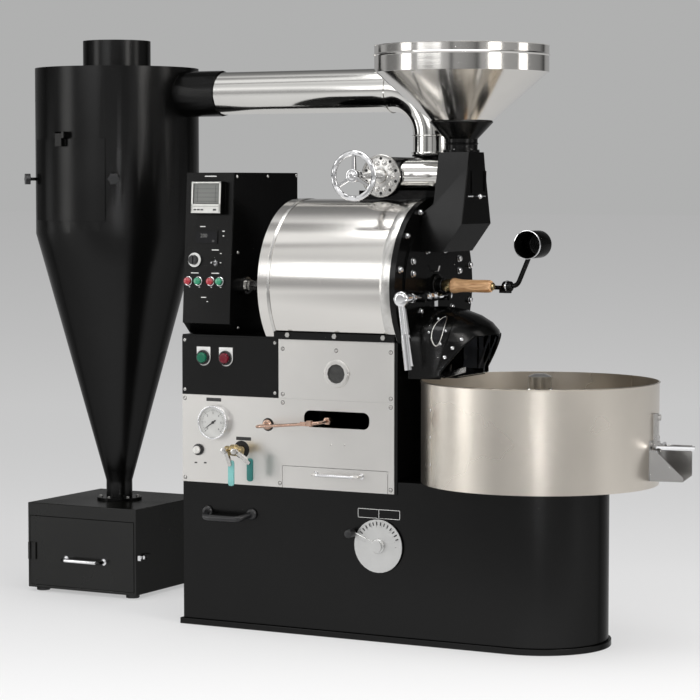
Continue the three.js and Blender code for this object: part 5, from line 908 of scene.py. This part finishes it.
# Drum and jacket
# The jacket is rolled stainless steel, brushed round its circumference, with a trim band near each
# end. It sits on a black rail. The drum turns in it on its rear shaft.
jacket_steel = finish("jacket_steel", (0.72, 0.70, 0.67), 0.13, metal=1.0, tone=1.7, tone_span=0.03,
                      stretch=(700.0, 10.0, 10.0), depth=0.000015, tint=0.02)
drum_axis = (0.0, 1007.0)


def true_round(solid, material, axis, centre, sides, cuts, width=0.0, angle=35.0, outside=True,
               levels=()):
    """A dressed copy of a turned solid whose facets are made round. Planes through its axis cut each
    facet, and each point then moves out from the chord to the circle: its radius is multiplied by
    the cosine of its angle from the facet's middle, over the cosine of half a facet. Without
    outside it isn't divided, so the round lies within the facets. Levels are heights of more cuts
    square to the axis, where a long cone needs them."""
    mesh = frame["nodes"][solid].data.copy()
    form = bmesh.new()
    form.from_mesh(mesh)
    bmesh.ops.remove_doubles(form, verts=form.verts, dist=1e-6)
    along = np.eye(3)["xyz".index(axis)]
    keep = np.flatnonzero(along == 0)
    middle = np.zeros(3)
    middle[keep] = np.asarray(centre) * MM
    step = 2 * np.pi / sides
    planes = []
    for k in range(sides * (cuts + 1) // 2):
        if k % (cuts + 1):
            normal = np.zeros(3)
            turn = k * step / (cuts + 1)
            normal[keep] = (-math.sin(turn), math.cos(turn))
            planes.append((middle, normal))
    planes += [(along * level * MM, along) for level in levels]
    for place, normal in planes:
        everything = form.verts[:] + form.edges[:] + form.faces[:]
        bmesh.ops.bisect_plane(form, geom=everything, dist=1e-7, plane_co=place, plane_no=normal)
    form.to_mesh(mesh)
    form.free()
    points = np.empty(len(mesh.vertices) * 3)
    mesh.vertices.foreach_get("co", points)
    points = points.reshape(-1, 3)
    away = points[:, keep] - middle[keep]
    share = np.arctan2(away[:, 1], away[:, 0]) / step
    off = (share - np.floor(share) - 0.5) * step
    near = np.minimum(np.abs(off), step / 2)
    away *= (np.cos(near) / (math.cos(step / 2) if outside else 1.0))[:, None]
    points[:, keep] = away + middle[keep]
    mesh.vertices.foreach_set("co", points.ravel())
    mesh.update()
    smooth_mesh(mesh, angle)
    piece = install("dressed_" + solid, mesh, material, node_body[solid], [solid])
    return round_edges(piece, width, angle) if width else piece


true_round("drum_jacket", jacket_steel, "x", drum_axis, 32, 3, 0.0005)
cast_iron = finish("cast_iron", (0.045, 0.046, 0.05), 0.62, metal=0.6, tone=30.0, tone_span=0.1,
                   stretch=(220.0,) * 3, depth=0.0005, tint=0.25)
drum_steel = finish("drum_steel", (0.20, 0.17, 0.14), 0.46, metal=1.0, tone=12.0, tone_span=0.12,
                    stretch=(60.0, 300.0, 300.0), depth=0.0002, tint=0.3)
true_round("rear_bearing_plate", cast_iron, "x", drum_axis, 32, 2)
dress("roasting_drum", drum_steel, 0.0006)
dress("burner", cast_iron, 0.0006)
dress("drive_motor", cast_iron, 0.002)
bands = [lathe("band", section(246.2, 247.6, low, high), "x", drum_axis, 128, loop=True, ease=0.3)
         for low, high in ((-380, -350), (-774, -736))]
install("jacket_bands", merged("jacket_bands", *bands), steel, "machine")


# Front plate
# A cast plate closes the drum's front: its rim is bolted to the jacket, its middle carries the
# trier's seat, and bearing blocks and a bracket are screwed to it.
plate_front = -326.0
gloss_black = finish("gloss_black", black_coat, 0.15, tone=5.0, tone_span=0.06, stretch=(420.0,) * 3,
                     depth=0.00010, tint=0.12, rim_gloss=(0.27, 0.025))
dress("face_plate", gloss_black, 0.0012, 30.0)
rim_bolts = ringed("x", drum_axis, plate_front - 1, 232, np.pi * (2 * np.arange(14) + 1) / 14)
block_bolts = [(plate_front, y, z) for y, z in ((-150, 1080), (-150, 1045), (150, 1080), (150, 1045),
                                                (-58, 1108), (58, 1108), (-100, 935), (100, 940))]
cap_bolt = [(0, -5), (10, -5), (10, 0), (8.4, 0.2), (8.4, 5.5), (7.0, 7.2), (4.2, 7.6), (3.8, 5.0), (0, 5.0)]
bolts = scatter("face_bolts", np.concatenate([rim_bolts, block_bolts]), (1, 0, 0), cap_bolt, 16)
install("face_bolts", bolts, chrome, "machine")
seat_line = [(14.4, -326.5), (33, -326.5), (33, -320), (29, -318), (22.5, -318), (22.5, -303), (19.5, -301),
             (14.4, -301)]
seat = lathe("seat", seat_line, "x", drum_axis, 48, loop=True, ease=0.6)
install("trier_seat", seat, gloss_black, "machine")
seat_bolts = ringed("x", drum_axis, -320, 26.5, np.radians([45, 135, 225, 315]))
bolts = scatter("seat_bolts", seat_bolts, (1, 0, 0), section(0, 3.4, 0, 4), 12)
install("trier_seat_bolts", bolts, chrome, "machine")
pin = tube("pin", [(plate_front, -16, 1046), (-312, -16, 1050), (-308, -16, 1064)], 2.6, (0, 1, 0), 12)
install("seat_pin", pin, chrome, "machine")


# Trier
# A steel sampling spoon slides in the front plate. Its handle is turned beech, oiled, with a
# brass ferrule and a brass end cap.
wood, tree = blank_material("turned_beech")
body = node(tree, "ShaderNodeBsdfPrincipled")
place = node(tree, "ShaderNodeTexCoord")
grain_way = node(tree, "ShaderNodeMapping")
grain_way.inputs["Scale"].default_value = (7.0, 62.0, 62.0)
link_value(tree, place.outputs["Object"], grain_way.inputs["Vector"])
grain = node(tree, "ShaderNodeTexNoise")
grain.inputs["Scale"].default_value = 3.2
grain.inputs["Detail"].default_value = 6.0
grain.inputs["Distortion"].default_value = 0.8
link_value(tree, grain_way.outputs[0], grain.inputs["Vector"])
tones = node(tree, "ShaderNodeValToRGB")
tones.color_ramp.elements[0].position = 0.36
tones.color_ramp.elements[0].color = (0.42, 0.205, 0.085, 1.0)
tones.color_ramp.elements[1].position = 0.62
tones.color_ramp.elements[1].color = (0.72, 0.45, 0.235, 1.0)
link_value(tree, grain.outputs["Fac"], tones.inputs[0])
link_value(tree, tones.outputs[0], body.inputs["Base Color"])
sheen = use_group(tree, uneven, Scale=30.0, Low=0.36, High=0.52)
link_value(tree, sheen.outputs["Value"], body.inputs["Roughness"])
raised = node(tree, "ShaderNodeBump")
raised.inputs["Distance"].default_value = 0.0003
raised.inputs["Strength"].default_value = 0.6
link_value(tree, grain.outputs["Fac"], raised.inputs["Height"])
link_value(tree, raised.outputs["Normal"], body.inputs["Normal"])
link_value(tree, body.outputs[0], node(tree, "ShaderNodeOutputMaterial").inputs["Surface"])
handle_line = [(0, -276), (20.0, -276), (22, -271), (21.4, -262), (18.8, -250), (17.9, -238), (17.9, -190),
               (18.3, -172), (17.8, -155), (15.0, -149.6), (0, -149)]
handle = lathe("handle", handle_line, "x", drum_axis, 48, ease=4.0)
install("trier_handle", handle, wood, "trier")
ferrule_line = [(0, -301.0), (15.4, -301.0), (15.4, -297), (18.4, -292), (19.6, -276.4), (0, -276.4)]
ferrule = lathe("ferrule", ferrule_line, "x", drum_axis, 40, ease=0.6)
end_line = [(0, -149.6), (11, -149.6), (11, -145.0), (8, -142.4), (0, -142.0)]
end_cap = lathe("end", end_line, "x", drum_axis, 32, ease=0.5)
install("trier_ferrule", merged("trier_ferrule", ferrule, end_cap), brass_metal, "trier")
dress("trier", steel, 0.0004)


# Inspection lamp
# A spun black cup with a chrome ring round its mouth, on a bent rod that swings on a knuckle at the
# end of a bar.
lamp_axis = (-44.0, 1126.0)
knuckle_axis = (46.0, 1006.0)
lamp_line = [(0, 96), (30, 96), (37, 93.4), (39.4, 86), (39.4, 4), (37.4, 4), (37.4, 84), (30, 91), (0, 92)]
cup = lathe("cup", lamp_line, "y", lamp_axis, 72, ease=0.8)
rod_way = eased([(-122, 46, 1008), (-92, 46, 1008), (-58, 46, 1086), (-56.5, 46, 1090.2)], 16.0, 5)
rod = tube("rod", rod_way, 6.8, (0, 1, 0), 20)
knuckle_line = [(0, -138), (9, -138), (14.5, -134), (15.5, -122), (14.5, -110), (9, -106), (0, -106)]
knuckle = lathe("knuckle", knuckle_line, "x", knuckle_axis, 40, ease=2.0)
lamp = merged("lamp_shell", cup, rod, knuckle)
install("lamp_shell", lamp, gloss_black, "inspection_lamp", ["inspection_lamp"])
mouth_line = [(38.9, 4.4), (40.6, 4.8), (40.6, 9.6), (38.9, 10)]
mouth = lathe("mouth", mouth_line, "y", lamp_axis, 72, loop=True)
install("lamp_ring", mouth, chrome, "inspection_lamp")
hoop_line = [(14.6, -127), (17, -126.4), (17, -121), (14.6, -120.4)]
hoop = lathe("hoop", hoop_line, "x", knuckle_axis, 40, loop=True, ease=0.6)
install("lamp_knuckle", hoop, chrome, "inspection_lamp")
collar = lathe("collar", section(6.3, 11, -186, -172), "x", (46, 1002), 24, loop=True, ease=1.0)
install("lamp_collar", collar, gloss_black, "machine")


# Discharge door
# A chrome lever outside lifts the disc behind the hood. Its shaft lies in two bearing blocks.
lever_axis = (-306.0, 978.0)
lever_lean = math.radians(7.0)
dress("discharge_door", chrome, 0.0012)
hub_line = [(0, -268), (13, -268), (20, -265.4), (22, -262), (22, -239), (19, -235), (9, -233.6), (0, -233.6)]
hub = lathe("hub", hub_line, "y", lever_axis, 40, ease=1.2)
arm_down = np.array([math.sin(lever_lean), 0.0, -math.cos(lever_lean)])
arm_at = np.array([lever_axis[0], -262.0, lever_axis[1]])
rods = [tube("rod", [arm_at + (shift, 0, 0) + arm_down * t for t in (10, 60, 108, 112)], 3.4, (0, 1, 0), 14)
        for shift in (-5.6, 5.6)]
grip = tube("grip", [arm_at + arm_down * t for t in (98, 100, 150, 196, 198)], 10.6, (0, 1, 0), 24)
install("door_lever", merged("door_lever", hub, *rods, grip), chrome, "discharge_door")
rings = [lathe("ring", section(8.2, 13, y, y + 9), "y", lever_axis, 24, loop=True, ease=0.6)
         for y in (-222, -196, -120, 30)]
install("door_rings", merged("door_rings", *rings), chrome, "discharge_door")


# Discharge hood
# Half a dome of black sheet steel, cut off at a slant where the beans fall out, with a rolled
# edge, an oval sight glass in a steel ring and a steel tongue that laps over the tray.
hood_wide, hood_reach, hood_rise, hood_middle, hood_back = 178.0, 190.0, 92.0, 856.0, -325.7
slant_foot, slant_run = (-236.0, 768.0), (73.0, 102.0)
sight_centre = (-244.5, 884.0)
dress("discharge_hood", gloss_black, 0.0008, 32.0)


def on_hood(x, z, lift):
    """The near side of the hood's skin at x and z, with a lift off it. The dome's reach and half
    width shrink with the root of 1 - rise^2 above its middle height, and its width from back to
    front with the root of 1 - along^2."""
    rise = np.maximum(z - hood_middle, 0) / (hood_rise + lift)
    share = np.sqrt(np.maximum(1 - rise ** 2, 0))
    along = np.clip((x - hood_back) / ((hood_reach + lift) * share), 0, 1)
    return np.stack([x, -(hood_wide + lift) * share * np.sqrt(1 - along ** 2), z], -1)


def eye(wide, high, lift):
    """Points of a pointed oval on the hood: x follows the cosine to the power 1.25 and z the sine to
    the power 0.9, so its top and bottom are narrow."""
    turn = round_way(72)
    c, s = np.cos(turn), np.sin(turn)
    x = sight_centre[0] + wide * np.sign(c) * np.abs(c) ** 1.25
    return on_hood(x, sight_centre[1] + high * np.sign(s) * np.abs(s) ** 0.9, lift)


def patch(name, lift, inner, wide, high, thick):
    """A curved plate of a thickness on the hood, from an oval in to the inner share of its size."""
    face = np.stack([eye(wide * t, high * t, lift) for t in np.linspace(1.0, inner, 7)])
    return skin(name, np.concatenate([face, (face + (0, thick, 0))[::-1]]), loop_rows=True)


install("sight_bezel", patch("bezel", 3.2, 0.45, 30.0, 53.0, 5.0), gloss_black, "machine")
sight_ring = tube("sight", eye(14.0, 40.0, 4.2), 1.9, (0, -1, 0), 12, loop=True)
install("sight_ring", sight_ring, steel, "machine")
install("sight_glass", patch("pane", 4.0, 0.02, 15.0, 41.0, 1.6), dark_glass, "machine")
across, up = np.array([21.0, -21.0, 12.0, -12.0]), np.array([2.0, -2.0, -34.0, 34.0])
screw_places = on_hood(sight_centre[0] + across, sight_centre[1] + up, 5.6)
screws = scatter("screws", screw_places, (0.2, -1, 0), [(0, -1), (3.4, -1), (3.4, 1.6), (0, 2.4)], 14)
install("sight_screws", screws, chrome, "machine")
slant = np.linspace(0.0, 1.0, 14)
slant_rim = on_hood(slant_foot[0] + slant_run[0] * slant, slant_foot[1] + slant_run[1] * slant, 0.6)
low_rim = on_hood(np.full(4, slant_foot[0]), np.linspace(752, 766, 4), 0.6)
near_rim = np.concatenate([low_rim, slant_rim])
rims = [tube("rim", near_rim * (1, side, 1), 2.8, (0, 1, 0), 10) for side in (1, -1)]
install("hood_rims", merged("hood_rims", *rims), gloss_black, "machine")
bolt_places = on_hood(np.array([-206.0, -224.0, -186.0]), np.array([838.0, 812.0, 862.0]), 0.5)
hood_bolt = [(0, -2), (6.5, -2), (6.5, 2), (5, 4.4), (2.4, 5.2), (0, 5.2)]
bolts = scatter("bolts", bolt_places, (0.35, -1, 0.1), hood_bolt, 14)
install("hood_bolts", bolts, chrome, "machine")
# The hood's inside is a grey-blue far lighter than its black skin: painted light, for the light that falls in
# through the mouth.
hood_inside_painted_light = finish("hood_inside_painted_light", (0.075, 0.080, 0.090), 0.22, tone=14.0, depth=0.00010, tint=0.2)
# The lining is a sheet 4 mm inside the skin, with two ridges of 3 exp(-(distance / 0.025)^2) pressed
# into it. Rows at half its thickness close its edge.
wall_z = np.linspace(754.0, 866.0, 24)[None, :]
wall_rise = (wall_z - slant_foot[1]) / slant_run[1]
wall_end = np.maximum(slant_foot[0] + slant_run[0] * wall_rise, slant_foot[0]) - 2.0
wall_share = np.linspace(0.02, 1.0, 40)[:, None]
wall_x = -324.0 + (wall_end + 324.0) * wall_share
ridge = sum(3.0 * np.exp(-((wall_share - share) / 0.025) ** 2) for share in (0.88, 0.66))
wall = on_hood(wall_x, wall_z + 0 * wall_x, -4.0) * (1, -1, 1)
wall[..., 1] -= ridge
outer_wall = wall + (0, 1.2, 0)
half_way = (wall + outer_wall) / 2
sides = np.concatenate([wall, outer_wall[:, ::-1]], 1)
ends = np.concatenate([half_way, half_way[:, ::-1]], 1)
lining = skin("lining", np.concatenate([ends[:1], sides, ends[-1:]]))
install("hood_lining", lining, hood_inside_painted_light, "machine")
back_line = [(-176, 752), (176, 752), (176, 846), (140, 806), (100, 784), (60, 772), (0, 768), (-60, 772),
             (-100, 784), (-140, 806), (-176, 846)]
back_plate = slab("back", back_line, [(0, 0), (0, 1.2)], (-325.4, 0, 0), (0, 1, 0), (0, 0, 1), (1, 0, 0))
install("hood_back_plate", back_plate, gloss_black, "machine")
tongue = slab("tongue", [(-300, -84), (-209, -84), (-209, 84), (-300, 84)], [(0, 0), (0, 1.6)], (0, 0, 753.4),
              (1, 0, 0), (0, 1, 0), (0, 0, 1))
catch = slab("catch", rounded_box(22, 15, 2.0, 3), [(0, 0), (0, 6), (1.2, 7)], (-262, -120, 795),
             face_right, face_up, face_out)
lip = slab("lip", rounded_box(72, 17, 2.0, 3), [(0, 0), (0, 1.4)], (-203, -130, 768), (0.96, 0, 0.28),
           (-0.23, 0.5, 0.83), (-0.14, -0.86, 0.48))
install("hood_tongue", merged("hood_tongue", tongue, catch, lip), steel, "machine")


# Hopper, neck, chute and gate
# The bowl is spun stainless steel, polished, with a beaded band. It stands on a black cone and a
# faceted black chute, across which a chrome slide holds the beans.
feed_axis = (-247.0, 0.0)
mirror = finish("mirror_steel", (0.64, 0.625, 0.60), 0.125, metal=1.0, tone=4.0, tone_span=0.02,
                stretch=(9.0, 9.0, 60.0), depth=0.00008, tint=0.02)
true_round("hopper", mirror, "z", feed_axis, 32, 3, 0.0006)
true_round("hopper_neck", gloss_black, "z", feed_axis, 16, 5, 0.0008)
dress("hopper_chute", powder_black, 0.0016, 25.0)
dress("hopper_gate", chrome, 0.0006)
neck_places = ringed("z", feed_axis, 1393, 49.5, np.radians([30, 90, 150, 210, 270, 330]))
bolts = scatter("bolts", neck_places, (0, 0, 1), section(0, 2.0, 0, 2.4), 8)
install("neck_bolts", bolts, chrome, "machine")
chute_edge = tube("edge", [(-199.2, -56, 1345), (-199.2, -95.5, 1184)], 0.9, (1, 0, 0), 8)
install("chute_seam", chute_edge, gloss_black, "machine")


# Damper
# A black drum over the jacket, with an indexed chrome plate and a three-spoked chrome handwheel
# whose shaft turns the shutter inside. A polished tube joins it to the chute.
damper_axis = (-486.0, 1320.0)
riser_axis = (-479.0, 300.0)
tube_axis = (20.0, 1320.0)
wheel_y = -203.0
dress("damper_housing", gloss_black, 0.001, 30.0)
barrel = lathe("barrel", section(49.6, 54.6, -22.6, 299), "y", damper_axis, 72, loop=True, ease=0.8)
riser_line = [(57.6, 1268), (62.6, 1268), (62.6, 1377), (68.6, 1378), (68.6, 1383.8), (57.6, 1383.8)]
riser = lathe("riser", riser_line, "z", riser_axis, 72, loop=True, ease=0.6)
branch = lathe("branch", section(44.6, 49.6, -470, -434.2), "x", tube_axis, 64, loop=True, ease=0.8)
shells = merged("damper_shells", barrel, riser, branch)
install("damper_shells", shells, gloss_black, "machine")
dress("index_plate", chrome, 0.0003)
plate_line = [(0, -34.2), (60.8, -34.2), (61.4, -35), (61.4, -39.4), (60, -40.6), (56.6, -40.6), (55.4, -39),
              (55.2, -37.2), (24, -37.2), (21, -39), (19.5, -45), (16, -46.4), (0, -46.4)]
plate = lathe("plate", plate_line, "y", damper_axis, 96)
lobe_turns = 2 * np.pi * np.arange(10) / 10
lobe_line = [(0, 0), (8.6, 0), (8.2, 1.6), (6.4, 3.0), (3.2, 3.8), (0, 4.0)]
lobes = scatter("lobes", ringed("y", damper_axis, -37.0, 39, lobe_turns), face_out, lobe_line, 20)
install("index_disc", merged("index_disc", plate, lobes), steel, "machine")
# The index plate's holes are flat dark discs: painted shade for the hollows of the holes.
hole_places = ringed("y", damper_axis, -37.3, 50, lobe_turns + np.pi / 10)
holes = scatter("holes", hole_places, face_out, section(0, 4.4, 0, 0.25), 20)
install("index_holes", holes, painted_hole_shade, "machine")
rim_line = [(64 + 8.0 * math.cos(t), wheel_y + 6.0 * math.sin(t)) for t in round_way(18)]
rim = lathe("rim", rim_line, "y", damper_axis, 96, loop=True)
hub_line = [(0, -216), (9, -216), (12, -214), (18.4, -213.6), (18.4, -200), (15, -186), (11, -180), (9, -180),
            (9, -38), (0, -38)]
hub = lathe("hub", hub_line, "y", damper_axis, 48, ease=1.0)
nut = lathe("nut", [(0, -219.4), (6.0, -219.4), (7.0, -218), (7.0, -214), (0, -214)], "y", damper_axis, 24)
spoke_line = [(10, -6.0), (62, -4.6), (62, 4.6), (10, 6.0)]
wheel_at = (damper_axis[0], wheel_y, damper_axis[1])
spokes = [slab("spoke", spoke_line, [(0, -5.4), (0, 2.4), (2.0, 5.4)], wheel_at,
               *turned_face(2 * np.pi * k / 3 + np.pi / 2)) for k in range(3)]
install("handwheel", merged("handwheel", rim, hub, nut, *spokes), chrome, "damper_handwheel")
dress("damper_handwheel", chrome, 0.0006)


# Polished pipes
# Rolled and polished stainless pipe, with a beaded seam where the elbow sits on the damper.
elbow_radius, elbow_foot = 135.0, 1443.0
pipe_axis = (riser_axis[1], elbow_foot + elbow_radius)
pipe_steel = finish("pipe_steel", (0.69, 0.68, 0.655), 0.095, metal=1.0, tone=3.0, tone_span=0.02,
                    stretch=(2.0, 40.0, 40.0), depth=0.00006, tint=0.02)
true_round("exhaust_tube", pipe_steel, "x", tube_axis, 16, 5)
# The elbow's middle line rises along a quarter of a circle, from its foot to the level of the pipe.
quarter = np.linspace(0, np.pi / 2, 26)
bend = np.stack([riser_axis[0] - elbow_radius + elbow_radius * np.cos(quarter), np.full(26, riser_axis[1]),
                 elbow_foot + elbow_radius * np.sin(quarter)], -1)
elbow_way = [(*riser_axis, 1384.4), (*riser_axis, 1430), *bend, (-620, *pipe_axis)]
elbow = tube("elbow", elbow_way, 66.0, (0, 1, 0), 72, wall=2.0)
bead_line = [(65.5, 1437), (69, 1437.6), (69.6, 1440), (69, 1442.4), (65.5, 1443)]
beads = [lathe("bead", line, "z", riser_axis, 72, loop=True, ease=0.8)
         for line in (bead_line, section(65.5, 70.5, 1384.6, 1392))]
install("elbow_skin", merged("elbow_skin", elbow, *beads), pipe_steel, "machine",
        ["exhaust_elbow"])
true_round("exhaust_pipe", pipe_steel, "x", pipe_axis, 16, 5)


# Cyclone
# Rolled sheet steel, powder coated black: a cylinder, a long cone and a stub for the flue. Its hatch
# hangs on a pin at the top and is held by two moulded star knobs.
cyclone_axis = (-1611.5, 299.2)
true_round("cyclone_body", powder_black, "z", cyclone_axis, 32, 3, 0.0008, 30.0, outside=False,
           levels=np.arange(330.0, 1080.0, 50.0))
dress("cyclone_door", powder_black, 0.0006, 30.0)
for solid in ("star_knob_left", "star_knob_right"):
    dress(solid, black_plastic, 0.0016)
bolt_places = ringed("z", cyclone_axis, 291.2, 59, np.radians(np.arange(6) * 60 + 30))
bolts = scatter("bolts", bolt_places, (0, 0, 1), [(0, 0), (6, 0), (6, 4), (4.6, 5.2), (0, 5.2)], 6)
install("cyclone_bolts", bolts, steel, "machine")


# Chaff box
# A welded black box on short feet under the cyclone, with a hinged door, a bent steel handle and
# a turning latch on its side.
# The chaff box wears a copy of the black coat made lighter and warmer, with more gloss face-on: the lighter
# colour is painted light on its front.
chaff_coat_painted_light = finish("chaff_coat_painted_light", (0.0034, 0.0035, 0.0029), 0.26, tone=4.0, tone_span=0.04,
                    stretch=(520.0,) * 3, depth=0.00008, tint=0.15, rim_gloss=(0.55, 0.012))
dress("chaff_box", chaff_coat_painted_light, 0.0014)
dress("chaff_door", chaff_coat_painted_light, 0.0012)
dress("chaff_latch", chrome, 0.0006)
chaff_x, chaff_y, chaff_z = -1603.0, 88.0, 110.0
chaff_half = [(71, chaff_y), (71, chaff_y - 14), (62, chaff_y - 30)]
chaff_way = eased(bowed(chaff_half, chaff_x, chaff_z), 10.0, 4)
rose_line = [(0, 0.3), (10.5, 0.3), (10.5, -3), (7, -6), (0, -6)]
roses = [lathe("rose", [(r, chaff_y + y) for r, y in rose_line], "y", (x, chaff_z), 24)
         for x in (chaff_x - 71, chaff_x + 71)]
chaff_bar = merged("chaff_bar", tube("bar", chaff_way, 5.6, (0, 0, 1), 16), *roses)
install("chaff_bar", chaff_bar, chrome, "chaff_door")


# Cooling tray
# A rolled stainless bin with a wired rim and one riveted seam. Its slotted floor lies on a ledge
# over the fan, and a stirrer with paddles on four arms turns on the gear motor below.
tray_axis = (0.0, 0.0)
seam_turn = math.radians(230.0)
tray_steel = finish("tray_steel", (0.71, 0.66, 0.59), 0.30, metal=1.0, tone=2.2, tone_span=0.05,
                    stretch=(9.0, 9.0, 800.0), depth=0.00004, tint=0.04)
true_round("cooling_tray", tray_steel, "z", tray_axis, 40, 3, 0.0004)
dress("tray_floor", tray_steel, 0.0004)
seam_out = np.array([math.cos(seam_turn), math.sin(seam_turn), 0.0])
seam_side = np.array([-math.sin(seam_turn), math.cos(seam_turn), 0.0])
lap = slab("lap", rounded_box(9.0, 236.0, 1.0, 1), [(0, -0.6), (0, 0.5)], seam_out * 334.7 + (0, 0, 618.0),
           seam_side, (0, 0, 1), seam_out)
install("tray_seam", lap, tray_steel, "machine")
rivet_places = [seam_out * 334.9 + (0, 0, z) for z in (672.0, 597.0, 521.0)]
rivets = scatter("rivets", rivet_places, seam_out, [(0, -1), (5.0, -1), (5.0, 1.2), (3.6, 2.8), (0, 3.2)], 16)
install("tray_rivets", rivets, steel, "machine")
dress("stirrer", pipe_steel, 0.0008)
dress("tray_motor", cast_iron, 0.0016)
dress("cooling_fan", cast_iron, 0.0006)


# Outlet of the tray
# A folded steel scoop on the tray's wall is shut by a flap. A chrome bar with a ball-ended lever
# lifts it.
outlet_steel = finish("outlet_steel", (0.50, 0.49, 0.475), 0.26, metal=1.0, tone=4.0, tone_span=0.06,
                      stretch=(9.0, 500.0, 500.0), depth=0.00005, tint=0.05)
dress("tray_outlet", outlet_steel, 0.0008)
dress("tray_gate", chrome, 0.0009)
